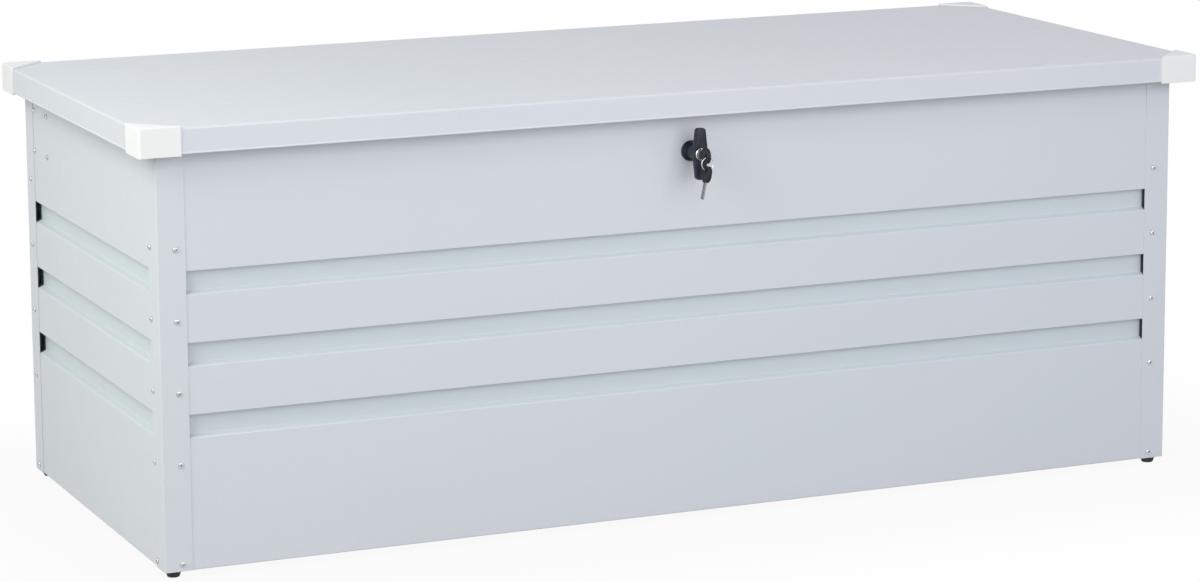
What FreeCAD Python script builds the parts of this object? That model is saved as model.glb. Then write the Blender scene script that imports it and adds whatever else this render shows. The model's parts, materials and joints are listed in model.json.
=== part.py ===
"""Outdoor storage chest of painted sheet steel, about 1650 x 700 x 630 mm.

A box of four grooved panels stands between four corner posts on rubber feet. Its overhanging lid has
plastic corner caps, turns on two hinge arms at the rear and is carried by two gas struts. A T-handle
lock in the front panel turns a cam under a catch on the lid.

Frame: X along the length, Y from the front to the rear, Z up. The origin is on the floor, under the
middle of everything from the bow of the key in the lock to the rear of the lid.
"""
import FreeCAD, Part
import math
import os
from typing import NamedTuple

import Sketcher

DRIVING_SIZES = [
    ("lid_side_overhang", 28, "lid sheet beyond the posts at each end"),
    ("lid_front_overhang", 24, "lid sheet beyond the posts at the front"),
    ("lid_rear_overhang", 14, "lid sheet beyond the posts at the rear"),
    ("lid_rise", 22, "lid's top above the panels' top"),
    ("lid_skirt", 36, "height of the lid's turned-down skirt"),
    ("lid_gauge", 0.8, "lid sheet thickness"),
    ("lid_edge_radius", 3, "rounding of the lid's upper edges"),
    ("lid_corner_radius", 6, "rounding of the lid's four corners"),
    ("lid_hem", 8, "height of the sheet folded back inside the skirt"),
    ("cap_leg", 60, "corner cap, length of each side"),
    ("cap_wall", 2, "corner cap, wall outside the skirt"),
    ("cap_top", 2.5, "corner cap, plate on the lid"),
    ("cap_drop", 2.5, "corner cap, how far it reaches below the skirt"),
    ("cap_lip", 3, "corner cap, width of the lip under the skirt"),
    ("cap_corner", 4, "corner cap, rounding of its upright corner"),
    ("cap_rounding", 1.2, "corner cap, edge rounding"),
    ("rib_depth", 12, "lid rib, depth of the hat section"),
    ("rib_crown", 30, "lid rib, width of the crown"),
    ("rib_brim", 10, "lid rib, width of each brim"),
    ("rib_gauge", 0.8, "lid rib, sheet thickness"),
    ("rib_end_gap", 4, "lid rib, clearance to the skirt at each end"),
    ("body_length", 1590, "over the corner posts, end to end"),
    ("body_depth", 658, "over the corner posts, front to rear"),
    ("rim_height", 598, "top of the panels above their lower edge"),
    ("panel_gauge", 0.8, "panel sheet thickness"),
    ("panel_bend", 1.5, "outer radius of the panels' bends"),
    ("groove_count", 3, "number of pressed grooves"),
    ("rim_flange", 14, "width of the flange at the panels' top"),
    ("rim_return", 9, "height of the turned-down edge of that flange"),
    ("base_flange", 12, "width of the flange at the panels' bottom"),
    ("groove_low", 186, "lower edge of the lowest groove"),
    ("groove_height", 32, "height of a pressed groove"),
    ("groove_pitch", 100, "from one groove to the next"),
    ("groove_depth", 9, "depth of a pressed groove"),
    ("groove_rise", 4, "rise of a groove's sloped lower wall"),
    ("corner_gap", 0.4, "between a side panel and the front or rear panel"),
    ("post_leg", 40, "corner post, width of each leg"),
    ("post_gauge", 1.2, "corner post, sheet thickness"),
    ("post_bend", 2, "corner post, outer bend radius"),
    ("post_top_gap", 1, "corner post's top below the panels' top"),
    ("screw_front_inset", 26, "post screws from the corner, front and rear"),
    ("screw_side_front_inset", 33, "post screws from the corner, sides, front post"),
    ("screw_side_rear_inset", 22, "post screws from the corner, sides, rear post"),
    ("screw_low", 10, "lowest post screw above the body's lower edge"),
    ("screw_below_groove", 36, "other post screws below a groove's lower edge"),
    ("screw_core", 4, "panel screw, shank diameter"),
    ("screw_head", 8.4, "panel screw, head diameter"),
    ("screw_head_rise", 2.4, "panel screw, head height"),
    ("screw_reach", 7, "panel screw, shank length"),
    ("screw_hole_gap", 0.4, "panel screw holes, clearance on the diameter"),
    ("foot_height", 10, "rubber foot, height"),
    ("foot_top", 23, "rubber foot, upper diameter"),
    ("foot_base", 18, "rubber foot, lower diameter"),
    ("foot_chamfer", 1.5, "rubber foot, chamfer of its lower edge"),
    ("foot_inset", 17, "foot's centre from the body's outer faces"),
    ("foot_socket", 10, "rubber foot, diameter of the recess for its bolt head"),
    ("foot_floor", 4, "rubber foot, thickness that the bolt clamps"),
    ("foot_bolt", 5, "foot bolt, shank diameter"),
    ("foot_bolt_gap", 0.4, "foot bolt holes, clearance on the diameter"),
    ("foot_bolt_head", 9, "foot bolt, head diameter"),
    ("foot_bolt_head_rise", 2.5, "foot bolt, head height"),
    ("foot_nut_flats", 8, "foot bolt nut, across flats"),
    ("foot_nut_height", 3.5, "foot bolt nut, height"),
    ("thread_gap", 0.1, "clearance on the diameter of a thread, drawn plain"),
    ("thread_end", 1, "bolt end beyond its nut"),
    ("bracket_leg", 52, "corner bracket, length of each side"),
    ("bracket_gauge", 2, "corner bracket, sheet thickness"),
    ("bracket_tab", 18, "corner bracket, height of its upright tabs"),
    ("bracket_bend", 3.5, "corner bracket, outer bend radius"),
    ("channel_height", 12, "floor channel, height"),
    ("channel_width", 40, "floor channel, width"),
    ("channel_gauge", 1.2, "floor channel, sheet thickness"),
    ("channel_offset", 520, "outer floor channels from the middle one"),
    ("floor_gauge", 0.8, "floor sheet thickness"),
    ("floor_gap", 4, "floor sheet from the panels"),
    ("floor_seam", 0.6, "between the two floor sheets"),
    ("bead_width", 24, "floor bead, width"),
    ("bead_height", 3, "floor bead, height"),
    ("bead_pitch", 100, "floor bead to floor bead"),
    ("bead_count", 5, "number of floor beads"),
    ("lid_swing", 80, "lid's opening angle in degrees"),
    ("hinge_inset", 22, "lid's axis in front of the body's rear face"),
    ("hinge_drop", 35, "lid's axis below the panels' top"),
    ("hinge_pin", 8, "hinge pin, diameter"),
    ("hinge_pin_head", 15, "hinge pin, head diameter"),
    ("pin_head_rise", 2.5, "heads of the hinge pins and strut studs, height"),
    ("running_gap", 0.05, "radial clearance of a turning fit"),
    ("end_gap", 0.3, "clearance along the axis of a turning fit"),
    ("hinge_spacer", 4, "spacer between the hinge plate and the arm, thickness"),
    ("hinge_spacer_size", 18, "spacer, diameter"),
    ("plate_gauge", 2.5, "hinge plate, thickness"),
    ("plate_margin", 12, "hinge plate, edge round its holes"),
    ("plate_screw_rear", 44.5, "rear plate screws from the body's rear face"),
    ("plate_screw_spread", 68, "plate screws, front to rear"),
    ("plate_screw_low", 41.5, "upper plate screws below the panels' top"),
    ("plate_screw_drop", 61, "plate screws, upper to lower"),
    ("arm_gauge", 2.5, "hinge arm, thickness"),
    ("arm_width", 24, "hinge arm, width of its bars"),
    ("arm_neck", 50, "hinge arm, axis to its upright"),
    ("arm_reach", 165, "hinge arm, length in front of the axis"),
    ("arm_flange", 24, "hinge arm, width of the flange under the rib"),
    ("arm_rounding", 8, "hinge arm, rounding of its free corners"),
    ("arm_notch_gap", 8, "side panel's flange to the end of the hinge arm"),
    ("flange_stub", 3, "what is left of a flange where it is cut away for the arm"),
    ("rivet_core", 4.8, "rivet, shank diameter"),
    ("rivet_head", 9, "rivet, head diameter"),
    ("rivet_head_rise", 1.4, "rivet, head height"),
    ("rivet_hole_gap", 0.2, "rivet holes, clearance on the diameter"),
    ("rivet_edge", 14, "end rivets from the ends of the arm's flange"),
    ("strut_radius", 110, "strut ends from the lid's axis"),
    ("strut_high_angle", 15, "upper strut end above the level of the axis"),
    ("strut_low_angle", 65, "lower strut end below the level of the axis"),
    ("strut_inset", 20, "strut's centre line from the side panel"),
    ("strut_tube", 18, "strut cylinder, outer diameter"),
    ("strut_tube_wall", 1.3, "strut cylinder, wall"),
    ("strut_guide", 10, "strut cylinder, length of the rod guide"),
    ("strut_rod", 8, "strut rod, diameter"),
    ("strut_slide_gap", 0.3, "radial clearance of the rod and of the piston"),
    ("strut_piston", 8, "piston, thickness"),
    ("strut_eye", 15, "strut eye, diameter"),
    ("strut_eye_width", 9, "strut eye, width"),
    ("strut_stud", 8, "strut stud, diameter"),
    ("strut_stud_head", 12, "strut stud, head diameter"),
    ("strut_shank", 7, "strut, diameter of the shank between its eye and its body"),
    ("strut_neck", 14, "strut eye's centre to the end of its shank"),
    ("strut_end_wall", 3, "strut cylinder, closed end"),
    ("strut_spare", 4, "strut's spare travel when shut"),
    ("strut_end_gap", 2, "strut rod's shank to the cylinder when shut"),
    ("buffer_width", 12, "lid buffer, diameter"),
    ("buffer_stem", 6, "lid buffer, stem diameter"),
    ("buffer_bulb", 8, "lid buffer, diameter of the bulb below its flange"),
    ("buffer_bulb_height", 3, "lid buffer, height of that bulb"),
    ("buffer_hole_gap", 0.2, "hole for the buffer's stem, clearance on the diameter"),
    ("buffer_gap", 0.3, "lid buffer to the rib above"),
    ("lock_drop", 67, "lock's axis below the panels' top"),
    ("rose", 30, "lock rose, diameter"),
    ("rose_step", 25, "lock rose, diameter of its raised step"),
    ("rose_rim", 3.5, "lock rose, thickness at the rim"),
    ("rose_rise", 7, "lock rose, thickness at the step"),
    ("barrel", 19, "lock barrel behind the rose, diameter"),
    ("barrel_length", 19, "lock barrel behind the rose, length"),
    ("barrel_hole_gap", 0.4, "hole for the barrel, clearance on the diameter"),
    ("lock_nut_flats", 27, "lock nut, across flats"),
    ("lock_nut_height", 5, "lock nut, height"),
    ("spindle", 11, "handle spindle, diameter"),
    ("handle_neck", 21, "handle neck, diameter"),
    ("handle_reach", 37, "handle's face in front of the panel"),
    ("handle_thickness", 9.5, "handle bar, thickness"),
    ("handle_length", 74.5, "handle bar, length"),
    ("handle_waist", 20, "handle bar, width at its middle"),
    ("handle_tip", 14, "handle bar, width at its ends"),
    ("handle_rounding", 2, "handle bar, edge rounding"),
    ("plug_width", 12, "lock plug, diameter"),
    ("plug_length", 24, "lock plug, length"),
    ("plug_rise", 0.8, "lock plug and its ring in front of the handle"),
    ("plug_ring", 17.4, "bright ring round the plug, outer diameter"),
    ("plug_ring_seat", 2, "depth of that ring's seat in the handle"),
    ("cam_gauge", 3, "lock cam, thickness"),
    ("cam_width", 16, "lock cam, width at the spindle"),
    ("cam_tip", 10, "lock cam, width at its tip"),
    ("cam_reach", 32, "lock cam, axis to tip"),
    ("cam_gap", 0.5, "lock cam to the end of the barrel"),
    ("cam_square", 8, "square end of the spindle"),
    ("cam_square_gap", 0.1, "clearance across the square hole of the cam"),
    ("cam_screw", 4, "cam screw, shank diameter"),
    ("cam_screw_reach", 8, "cam screw, shank length"),
    ("cam_screw_head", 11, "cam screw, head diameter"),
    ("cam_screw_rise", 2.2, "cam screw, head height"),
    ("catch_gauge", 2, "lid catch, thickness"),
    ("catch_width", 14, "lid catch, width"),
    ("catch_back_gap", 2, "lid catch to the head of the cam screw"),
    ("catch_rim_gap", 3, "lid catch's lip to the front panel's flange"),
    ("catch_clearance", 1.5, "lid catch, gap below the turned cam"),
    ("catch_offset", 22, "lid catch's middle from the lock's axis"),
    ("catch_foot", 30, "lid catch, front to rear of its foot under the middle rib"),
    ("catch_rivet_edge", 8, "catch rivets from the ends of that foot"),
    ("key_gauge", 2.2, "key blade, thickness"),
    ("key_blade", 8, "key blade, width"),
    ("key_length", 24, "key blade, length outside its bow"),
    ("key_tang", 5, "key blade, length inside its bow"),
    ("key_notch", 1.6, "key blade, depth of its cuts"),
    ("key_cut_count", 3, "key blade, number of its cuts"),
    ("key_cut_start", 3.2, "key blade, tip to its first cut"),
    ("key_cut_pitch", 4.8, "key blade, cut to cut"),
    ("key_slot_gap", 0.15, "key slot, clearance on each side of the blade"),
    ("key_bow_gauge", 5, "key bow, thickness"),
    ("key_bow_width", 22, "key bow, width"),
    ("key_bow_length", 24, "key bow, length"),
    ("key_bow_corner", 10.8, "key bow, rounding of its corners"),
    ("key_bow_gap", 2.2, "key bow to the plug's face"),
    ("key_eye", 6, "hole in the key bow, diameter"),
    ("key_eye_edge", 3.6, "hole in the key bow to the bow's end"),
    ("ring_wire", 1.6, "key ring, wire diameter"),
    ("ring_size", 20, "key ring, outer diameter"),
    ("ring_gap", 0.3, "key ring's wire to the edge of a bow's hole"),
    ("spare_lean", 12, "spare key's lean to the left in degrees"),
]

# Places that several pieces share, as expressions on the driving sizes
HANDLE_FACE = "(Sizes.handle_reach + Sizes.plug_rise)"
KEY_REACH = f"({HANDLE_FACE} + Sizes.key_bow_gap + Sizes.key_bow_length)"
KEY_EYE_OUT = f"({KEY_REACH} - Sizes.key_eye_edge - Sizes.key_eye / 2)"
SPARE_REACH = f"({KEY_EYE_OUT} + Sizes.key_bow_width / 2)"
FRONT_REACH = f"max({KEY_REACH}; {SPARE_REACH})"
BODY_Y = f"(({FRONT_REACH} - Sizes.post_gauge - Sizes.lid_rear_overhang - Sizes.cap_wall) / 2)"
LID_Y = f"({BODY_Y} + (Sizes.lid_rear_overhang - Sizes.lid_front_overhang) / 2)"
LID_HALF_X = "(Sizes.body_length / 2 + Sizes.lid_side_overhang)"
LID_HALF_Y = "((Sizes.body_depth + Sizes.lid_front_overhang + Sizes.lid_rear_overhang) / 2)"
BODY_FRONT = f"({BODY_Y} - Sizes.body_depth / 2)"
BODY_REAR = f"({BODY_Y} + Sizes.body_depth / 2)"
PANEL_FRONT = f"({BODY_FRONT} + Sizes.post_gauge)"
PANEL_REAR = f"({BODY_REAR} - Sizes.post_gauge)"
PANEL_END = "(Sizes.body_length / 2 - Sizes.post_gauge)"
INNER_END = f"({PANEL_END} - Sizes.panel_gauge)"
BASE = "Sizes.foot_height"
RIM = f"({BASE} + Sizes.rim_height)"
LID_TOP = f"({RIM} + Sizes.lid_rise)"
LID_UNDER = f"({LID_TOP} - Sizes.lid_gauge)"
SKIRT_LOW = f"({LID_TOP} - Sizes.lid_skirt)"
RIB_UNDER = f"({LID_UNDER} - Sizes.rib_depth)"
CORNER_CLEAR = (
    "(max(Sizes.groove_depth + Sizes.panel_gauge; Sizes.base_flange; Sizes.rim_flange)"
    " + Sizes.corner_gap)"
)
HINGE_Y = f"({BODY_REAR} - Sizes.hinge_inset)"
HINGE_Z = f"({RIM} - Sizes.hinge_drop)"
LOW_END_Y = f"({HINGE_Y} - Sizes.strut_radius * cos(Sizes.strut_low_angle))"
LOW_END_Z = f"({HINGE_Z} - Sizes.strut_radius * sin(Sizes.strut_low_angle))"
HIGH_END_Y = f"({HINGE_Y} - Sizes.strut_radius * cos(Sizes.strut_high_angle))"
HIGH_END_Z = f"({HINGE_Z} + Sizes.strut_radius * sin(Sizes.strut_high_angle))"
STRUT_X = f"({INNER_END} - Sizes.strut_inset)"
STRUT_LEAN = "((Sizes.strut_low_angle - Sizes.strut_high_angle) / 2)"
STRUT_SHUT = "(2 * Sizes.strut_radius * sin((Sizes.strut_high_angle + Sizes.strut_low_angle) / 2))"
STRUT_TUBE_END = f"({STRUT_SHUT} - Sizes.strut_neck - Sizes.strut_end_gap)"
ARM_OUT = "(Sizes.plate_gauge + Sizes.hinge_spacer + Sizes.end_gap)"
ARM_INSIDE = f"({ARM_OUT} + Sizes.arm_gauge)"
RIB_X = f"({INNER_END} - {ARM_OUT} - Sizes.arm_flange / 2)"
ARM_TOP = f"({RIB_UNDER} - {HINGE_Z})"
ARM_HALF = "(Sizes.arm_width / 2)"
FLOOR_BED = f"({BASE} + Sizes.panel_gauge)"
LOCK_Z = f"({RIM} - Sizes.lock_drop)"
CAM_BACK = "(Sizes.barrel_length + Sizes.cam_gap + Sizes.cam_gauge)"
CATCH_BACK = f"({CAM_BACK} + Sizes.cam_screw_rise + Sizes.catch_back_gap)"
RING_MEAN = "((Sizes.ring_size - Sizes.ring_wire) / 2)"
RING_FREE = f"({RING_MEAN} - Sizes.ring_wire / 2 - Sizes.ring_gap)"
RING_OFFSET = (
    f"(Sizes.key_eye / 2 - {RING_MEAN} + sqrt({RING_FREE}^2 - (Sizes.key_bow_gauge / 2)^2))"
)
LEAN_X = (
    "(Sizes.key_bow_gauge / 2 * cos(Sizes.spare_lean) + Sizes.key_eye / 2 * sin(Sizes.spare_lean))"
)
LEAN_Z = (
    "(Sizes.key_eye / 2 * cos(Sizes.spare_lean) - Sizes.key_bow_gauge / 2 * sin(Sizes.spare_lean))"
)
SPARE_OFFSET = f"({LEAN_Z} - {RING_MEAN} + sqrt({RING_FREE}^2 - {LEAN_X}^2))"
RING_Z = f"({LOCK_Z} - {RING_OFFSET} - {RING_MEAN})"
SPARE_EYE_Z = f"({RING_Z} - {RING_MEAN} - {SPARE_OFFSET})"
KEY_Y = f"({PANEL_FRONT} - {KEY_EYE_OUT})"


doc = FreeCAD.newDocument("StorageChest")
sizes = doc.addObject("Spreadsheet::Sheet", "Sizes")
NODES = []


def fill_sheet():
    """Writes the driving sizes to the sheet: a note and a plain number with its alias."""
    for row, (alias, size, note) in enumerate(DRIVING_SIZES, start=1):
        sizes.set(f"A{row}", note)
        sizes.set(f"B{row}", str(size))
        sizes.setAlias(f"B{row}", alias)
    doc.recompute()


def number(expression):
    """The value that an expression on the sheet has now."""
    return float(sizes.evalExpression(expression))


def point(x, y, z):
    """A point from three expressions."""
    return FreeCAD.Vector(number(x), number(y), number(z))


def new_body(label, node=True):
    """An empty body, which becomes the node of that name unless it is a pattern piece."""
    body = doc.addObject("PartDesign::Body", label)
    body.Label = label
    if node:
        NODES.append(body)
    return body


def group(label, copies):
    """One node of several separate copies, given as (pattern body, position, outward direction)."""
    solids = []
    for pattern, position, outward in copies:
        solid = pattern.Shape.copy()
        turned = FreeCAD.Rotation(FreeCAD.Vector(0, 0, 1), FreeCAD.Vector(*outward))
        solid.Placement = FreeCAD.Placement(position, turned)
        solids.append(solid)
    node = doc.addObject("Part::Feature", label)
    node.Label = label
    node.Shape = Part.makeCompound(solids)
    NODES.append(node)
    return node


def sketch_on(body, role, height="0"):
    """A sketch on one of the body's own planes, raised along the plane's normal."""
    plane = next(item for item in body.Origin.OriginFeatures if item.Role == role)
    sketch = body.newObject("Sketcher::SketchObject", "outline")
    sketch.AttachmentSupport = [(plane, "")]
    sketch.MapMode = "FlatFace"
    sketch.setExpression("AttachmentOffset.Base.z", height)
    return sketch


def draw_polygon(sketch, corners):
    """Adds a closed outline whose corners are pairs of expressions."""
    spots = [FreeCAD.Vector(number(x), number(y), 0) for x, y in corners]
    first = sketch.GeometryCount
    count = len(corners)
    sides = [Part.LineSegment(spots[i], spots[(i + 1) % count]) for i in range(count)]
    sketch.addGeometry(sides, False)
    joins = [
        Sketcher.Constraint("Coincident", first + i, 2, first + (i + 1) % count, 1)
        for i in range(count)
    ]
    sketch.addConstraint(joins)
    bound = sketch.ConstraintCount
    distances = []
    for i, spot in enumerate(spots):
        distances.append(Sketcher.Constraint("DistanceX", -1, 1, first + i, 1, spot.x))
        distances.append(Sketcher.Constraint("DistanceY", -1, 1, first + i, 1, spot.y))
    sketch.addConstraint(distances)
    for i, expression in enumerate(expression for corner in corners for expression in corner):
        sketch.setExpression(f"Constraints[{bound + i}]", expression)


def draw_rectangle(sketch, low_x, low_y, high_x, high_y):
    """Adds a rectangle between two corners."""
    draw_polygon(sketch, [(low_x, low_y), (high_x, low_y), (high_x, high_y), (low_x, high_y)])


def draw_circle(sketch, x, y, diameter):
    """Adds a circle about a point."""
    middle = FreeCAD.Vector(number(x), number(y), 0)
    index = sketch.addGeometry(
        Part.Circle(middle, FreeCAD.Vector(0, 0, 1), number(diameter) / 2), False
    )
    bound = sketch.ConstraintCount
    sketch.addConstraint(
        [
            Sketcher.Constraint("DistanceX", -1, 1, index, 3, middle.x),
            Sketcher.Constraint("DistanceY", -1, 1, index, 3, middle.y),
            Sketcher.Constraint("Diameter", index, number(diameter)),
        ]
    )
    for i, expression in enumerate((x, y, diameter)):
        sketch.setExpression(f"Constraints[{bound + i}]", expression)


def draw_regular(sketch, x, y, width, sides):
    """Adds a regular outline of some sides about a point, with its width across the corners."""
    corners = []
    for step in range(sides):
        angle = 360 / sides * step
        corners.append(
            (f"{x} + {width} / 2 * cos({angle})", f"{y} + {width} / 2 * sin({angle})")
        )
    draw_polygon(sketch, corners)


def draw_rounded_rectangle(sketch, half_x, half_y, radius, x="0", y="0"):
    """Adds a rectangle about a point, given by its half widths, with its corners rounded."""
    reach_x, reach_y, bend = number(half_x), number(half_y), number(radius)
    middle = FreeCAD.Vector(number(x), number(y), 0)
    first = sketch.GeometryCount
    normal = FreeCAD.Vector(0, 0, 1)
    corners = [(1, 1), (-1, 1), (-1, -1), (1, -1)]
    centres = []
    for quarter, (way_x, way_y) in enumerate(corners):
        centre = middle + FreeCAD.Vector(way_x * (reach_x - bend), way_y * (reach_y - bend), 0)
        centres.append(centre)
        start = math.pi / 2 * quarter
        circle = Part.Circle(centre, normal, bend)
        sketch.addGeometry(Part.ArcOfCircle(circle, start, start + math.pi / 2), False)
    for quarter in range(4):
        start = sketch.getPoint(first + quarter, 2)
        end = sketch.getPoint(first + (quarter + 1) % 4, 1)
        sketch.addGeometry(Part.LineSegment(start, end), False)
    for quarter in range(4):
        line = first + 4 + quarter
        sketch.addConstraint(
            [
                Sketcher.Constraint("Tangent", first + quarter, 2, line, 1),
                Sketcher.Constraint("Tangent", line, 2, first + (quarter + 1) % 4, 1),
            ]
        )
    for quarter, (way_x, way_y) in enumerate(corners):
        bound = sketch.ConstraintCount
        arc = first + quarter
        sketch.addConstraint(
            [
                Sketcher.Constraint("DistanceX", -1, 1, arc, 3, centres[quarter].x),
                Sketcher.Constraint("DistanceY", -1, 1, arc, 3, centres[quarter].y),
                Sketcher.Constraint("Radius", arc, bend),
            ]
        )
        sketch.setExpression(f"Constraints[{bound}]", f"{x} + {way_x} * ({half_x} - {radius})")
        sketch.setExpression(f"Constraints[{bound + 1}]", f"{y} + {way_y} * ({half_y} - {radius})")
        sketch.setExpression(f"Constraints[{bound + 2}]", radius)


def pad(body, sketch, length, against=False, middle=False):
    """Raises a sketch by a length along its normal, against it, or half to each side."""
    feature = body.newObject("PartDesign::Pad", "pad")
    feature.Profile = sketch
    feature.Reversed = against
    if middle:
        feature.SideType = "Symmetric"
    feature.setExpression("Length", length)
    doc.recompute()
    return feature


def pocket(body, sketch, length, along=False, middle=False):
    """Cuts a sketch into the body, against its normal unless told otherwise."""
    before = body.Shape.Volume
    feature = body.newObject("PartDesign::Pocket", "pocket")
    feature.Profile = sketch
    feature.Reversed = along
    if middle:
        feature.SideType = "Symmetric"
    feature.setExpression("Length", length)
    doc.recompute()
    if not body.Shape.Volume < before:
        raise RuntimeError(f"a pocket of {body.Label} cuts nothing")
    return feature


def drill(body, role, places, width, length, height="0", along=False, sides=0):
    """Cuts a hole at each place, round or with some sides round a circle of that width."""
    sketch = sketch_on(body, role, height)
    for x, y in places:
        if sides:
            draw_regular(sketch, x, y, f"({width}) / cos(180 / {sides})", sides)
        else:
            draw_circle(sketch, x, y, width)
    pocket(body, sketch, length, along)


def turn(body, profile):
    """Turns a profile of (radius, height) pairs about the body's Z axis."""
    sketch = sketch_on(body, "XZ_Plane")
    draw_polygon(sketch, profile)
    feature = body.newObject("PartDesign::Revolution", "turned")
    feature.Profile = sketch
    feature.ReferenceAxis = (sketch, ["V_Axis"])
    feature.Angle = 360
    doc.recompute()
    return feature


def fillet(body, radius, chosen):
    """Rounds the edges of the body's last feature that the test picks."""
    base = body.Tip
    names = [f"Edge{i}" for i, edge in enumerate(base.Shape.Edges, start=1) if chosen(edge)]
    if not names:
        raise RuntimeError(f"no edge of {body.Label} to round")
    feature = body.newObject("PartDesign::Fillet", "rounding")
    feature.Base = (base, names)
    feature.setExpression("Radius", radius)
    doc.recompute()
    return feature


def ends(edge):
    """An edge's two end points, or one on a closed edge."""
    return [vertex.Point for vertex in edge.Vertexes]


def runs_along(edge, axis):
    """True for a straight edge that is parallel to an axis, given as 0, 1 or 2."""
    spots = ends(edge)
    if len(spots) < 2 or not isinstance(edge.Curve, (Part.Line, Part.LineSegment)):
        return False
    step = spots[1] - spots[0]
    return all(abs(step[other]) < 1e-6 for other in range(3) if other != axis)


def at(edge, axis, place):
    """True if all of an edge's ends have that coordinate, given as an expression."""
    return all(abs(spot[axis] - number(place)) < 1e-4 for spot in ends(edge))


def put(body, x="0", y="0", z="0", axis=None, angle=0):
    """Places a body by expressions, turned about an axis by degrees or an expression."""
    if axis is not None:
        steady = angle if isinstance(angle, (int, float)) else number(angle)
        body.Placement = FreeCAD.Placement(
            FreeCAD.Vector(), FreeCAD.Rotation(FreeCAD.Vector(*axis), steady)
        )
        if steady is not angle:
            body.setExpression("Placement.Rotation.Angle", angle)
    for name, expression in zip("xyz", (x, y, z)):
        body.setExpression(f"Placement.Base.{name}", expression)
    return body


class Corner(NamedTuple):
    """One corner of the body, seen in the frame of its post, whose corner is the frame's origin."""

    name: str
    side: int
    end: int
    turned: int
    inset_x: str
    inset_y: str

    @property
    def x(self):
        """The corner's place along the chest."""
        return f"{self.side} * Sizes.body_length / 2"

    @property
    def y(self):
        """The corner's place from front to rear."""
        return f"({BODY_Y} + {self.end} * Sizes.body_depth / 2)"

    @property
    def side_inset(self):
        """How far the screws in the side face are from the corner."""
        return "Sizes.screw_side_rear_inset" if self.end > 0 else "Sizes.screw_side_front_inset"


UP = (0, 0, 1)
ALONG_X = (1, 0, 0)
ALONG_Y = (0, 1, 0)
HEXAGON = 6
OCTAGON = 8
SIDES = (("left", -1), ("right", 1))
FACE_INSET = "Sizes.screw_front_inset"
SIDE_FRONT = "Sizes.screw_side_front_inset"
SIDE_REAR = "Sizes.screw_side_rear_inset"
CORNERS = (
    Corner("front_left", -1, -1, 0, FACE_INSET, SIDE_FRONT),
    Corner("front_right", 1, -1, 90, SIDE_FRONT, FACE_INSET),
    Corner("rear_right", 1, 1, 180, FACE_INSET, SIDE_REAR),
    Corner("rear_left", -1, 1, 270, SIDE_REAR, FACE_INSET),
)
SCREW_HOLE = "(Sizes.screw_core + Sizes.screw_hole_gap)"
RIVET_HOLE = "(Sizes.rivet_core + Sizes.rivet_hole_gap)"
PIN_HOLE = "(Sizes.hinge_pin + 2 * Sizes.running_gap)"
STUD_HOLE = "(Sizes.strut_stud + 2 * Sizes.running_gap)"


def screw_rows():
    """Heights of the post screws above the body's lower edge."""
    rows = ["Sizes.screw_low"]
    for step in range(int(number("Sizes.groove_count")) + 1):
        rows.append(f"(Sizes.groove_low + {step} * Sizes.groove_pitch - Sizes.screw_below_groove)")
    return rows


def plate_screws():
    """Places of a hinge plate's screws from the body's rear face and its lower edge."""
    return [
        (f"(Sizes.plate_screw_rear + {across} * Sizes.plate_screw_spread)",
         f"(Sizes.rim_height - Sizes.plate_screw_low - {down} * Sizes.plate_screw_drop)")
        for across in (0, 1)
        for down in (0, 1)
    ]


def arm_rivets():
    """Places of an arm's rivets behind the lid's axis, all negative, since the arm runs forward."""
    span = f"(Sizes.arm_reach - Sizes.arm_neck + {ARM_HALF} - 2 * Sizes.rivet_edge)"
    return [f"(Sizes.rivet_edge - Sizes.arm_reach + {step} / 2 * {span})" for step in range(3)]


def catch_rivets():
    """Places of the catch's rivets behind the front panel's outer face."""
    return [
        f"({CATCH_BACK} + Sizes.catch_rivet_edge)",
        f"({CATCH_BACK} + Sizes.catch_foot - Sizes.catch_rivet_edge)",
    ]


def panel_sides():
    """Both sides of a panel's sheet seen from its end, as (depth, height) from bottom to top."""
    gauge = "Sizes.panel_gauge"
    depth = "Sizes.groove_depth"
    rise = "Sizes.groove_rise"
    drop = f"{gauge} * (sqrt({depth}^2 + {rise}^2) - {rise}) / {depth}"
    outer = [("Sizes.base_flange", "0"), ("0", "0")]
    inner = [("Sizes.base_flange", gauge), (gauge, gauge)]
    for step in range(int(number("Sizes.groove_count"))):
        low = f"(Sizes.groove_low + {step} * Sizes.groove_pitch)"
        high = f"({low} + Sizes.groove_height)"
        outer += [("0", low), (depth, f"{low} + {rise}"), (depth, high), ("0", high)]
        inner += [
            (gauge, f"{low} - {drop}"),
            (f"{depth} + {gauge}", f"{low} + {rise} - {drop}"),
            (f"{depth} + {gauge}", f"{high} + {gauge}"),
            (gauge, f"{high} + {gauge}"),
        ]
    top = "Sizes.rim_height"
    fold = "Sizes.rim_flange"
    outer += [("0", top), (fold, top), (fold, f"{top} - Sizes.rim_return")]
    inner += [
        (gauge, f"{top} - {gauge}"),
        (f"{fold} - {gauge}", f"{top} - {gauge}"),
        (f"{fold} - {gauge}", f"{top} - Sizes.rim_return"),
    ]
    return outer, inner


def folded_panel(label, length):
    """A roll-formed panel: X along it, Y inwards from its outer face, Z up from its lower edge."""
    body = new_body(label)
    outer, inner = panel_sides()
    sketch = sketch_on(body, "YZ_Plane")
    draw_polygon(sketch, outer + inner[::-1])
    pad(body, sketch, length, middle=True)
    bends = [(number(y), number(z)) for y, z in outer[1:-1]]

    def is_bend(edge):
        """True for an edge that runs along the panel at one of its outer bends."""
        spot = ends(edge)[0]
        return runs_along(edge, 0) and any(
            abs(spot.y - y) < 1e-4 and abs(spot.z - z) < 1e-4 for y, z in bends
        )

    fillet(body, "Sizes.panel_bend", is_bend)
    return body


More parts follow.
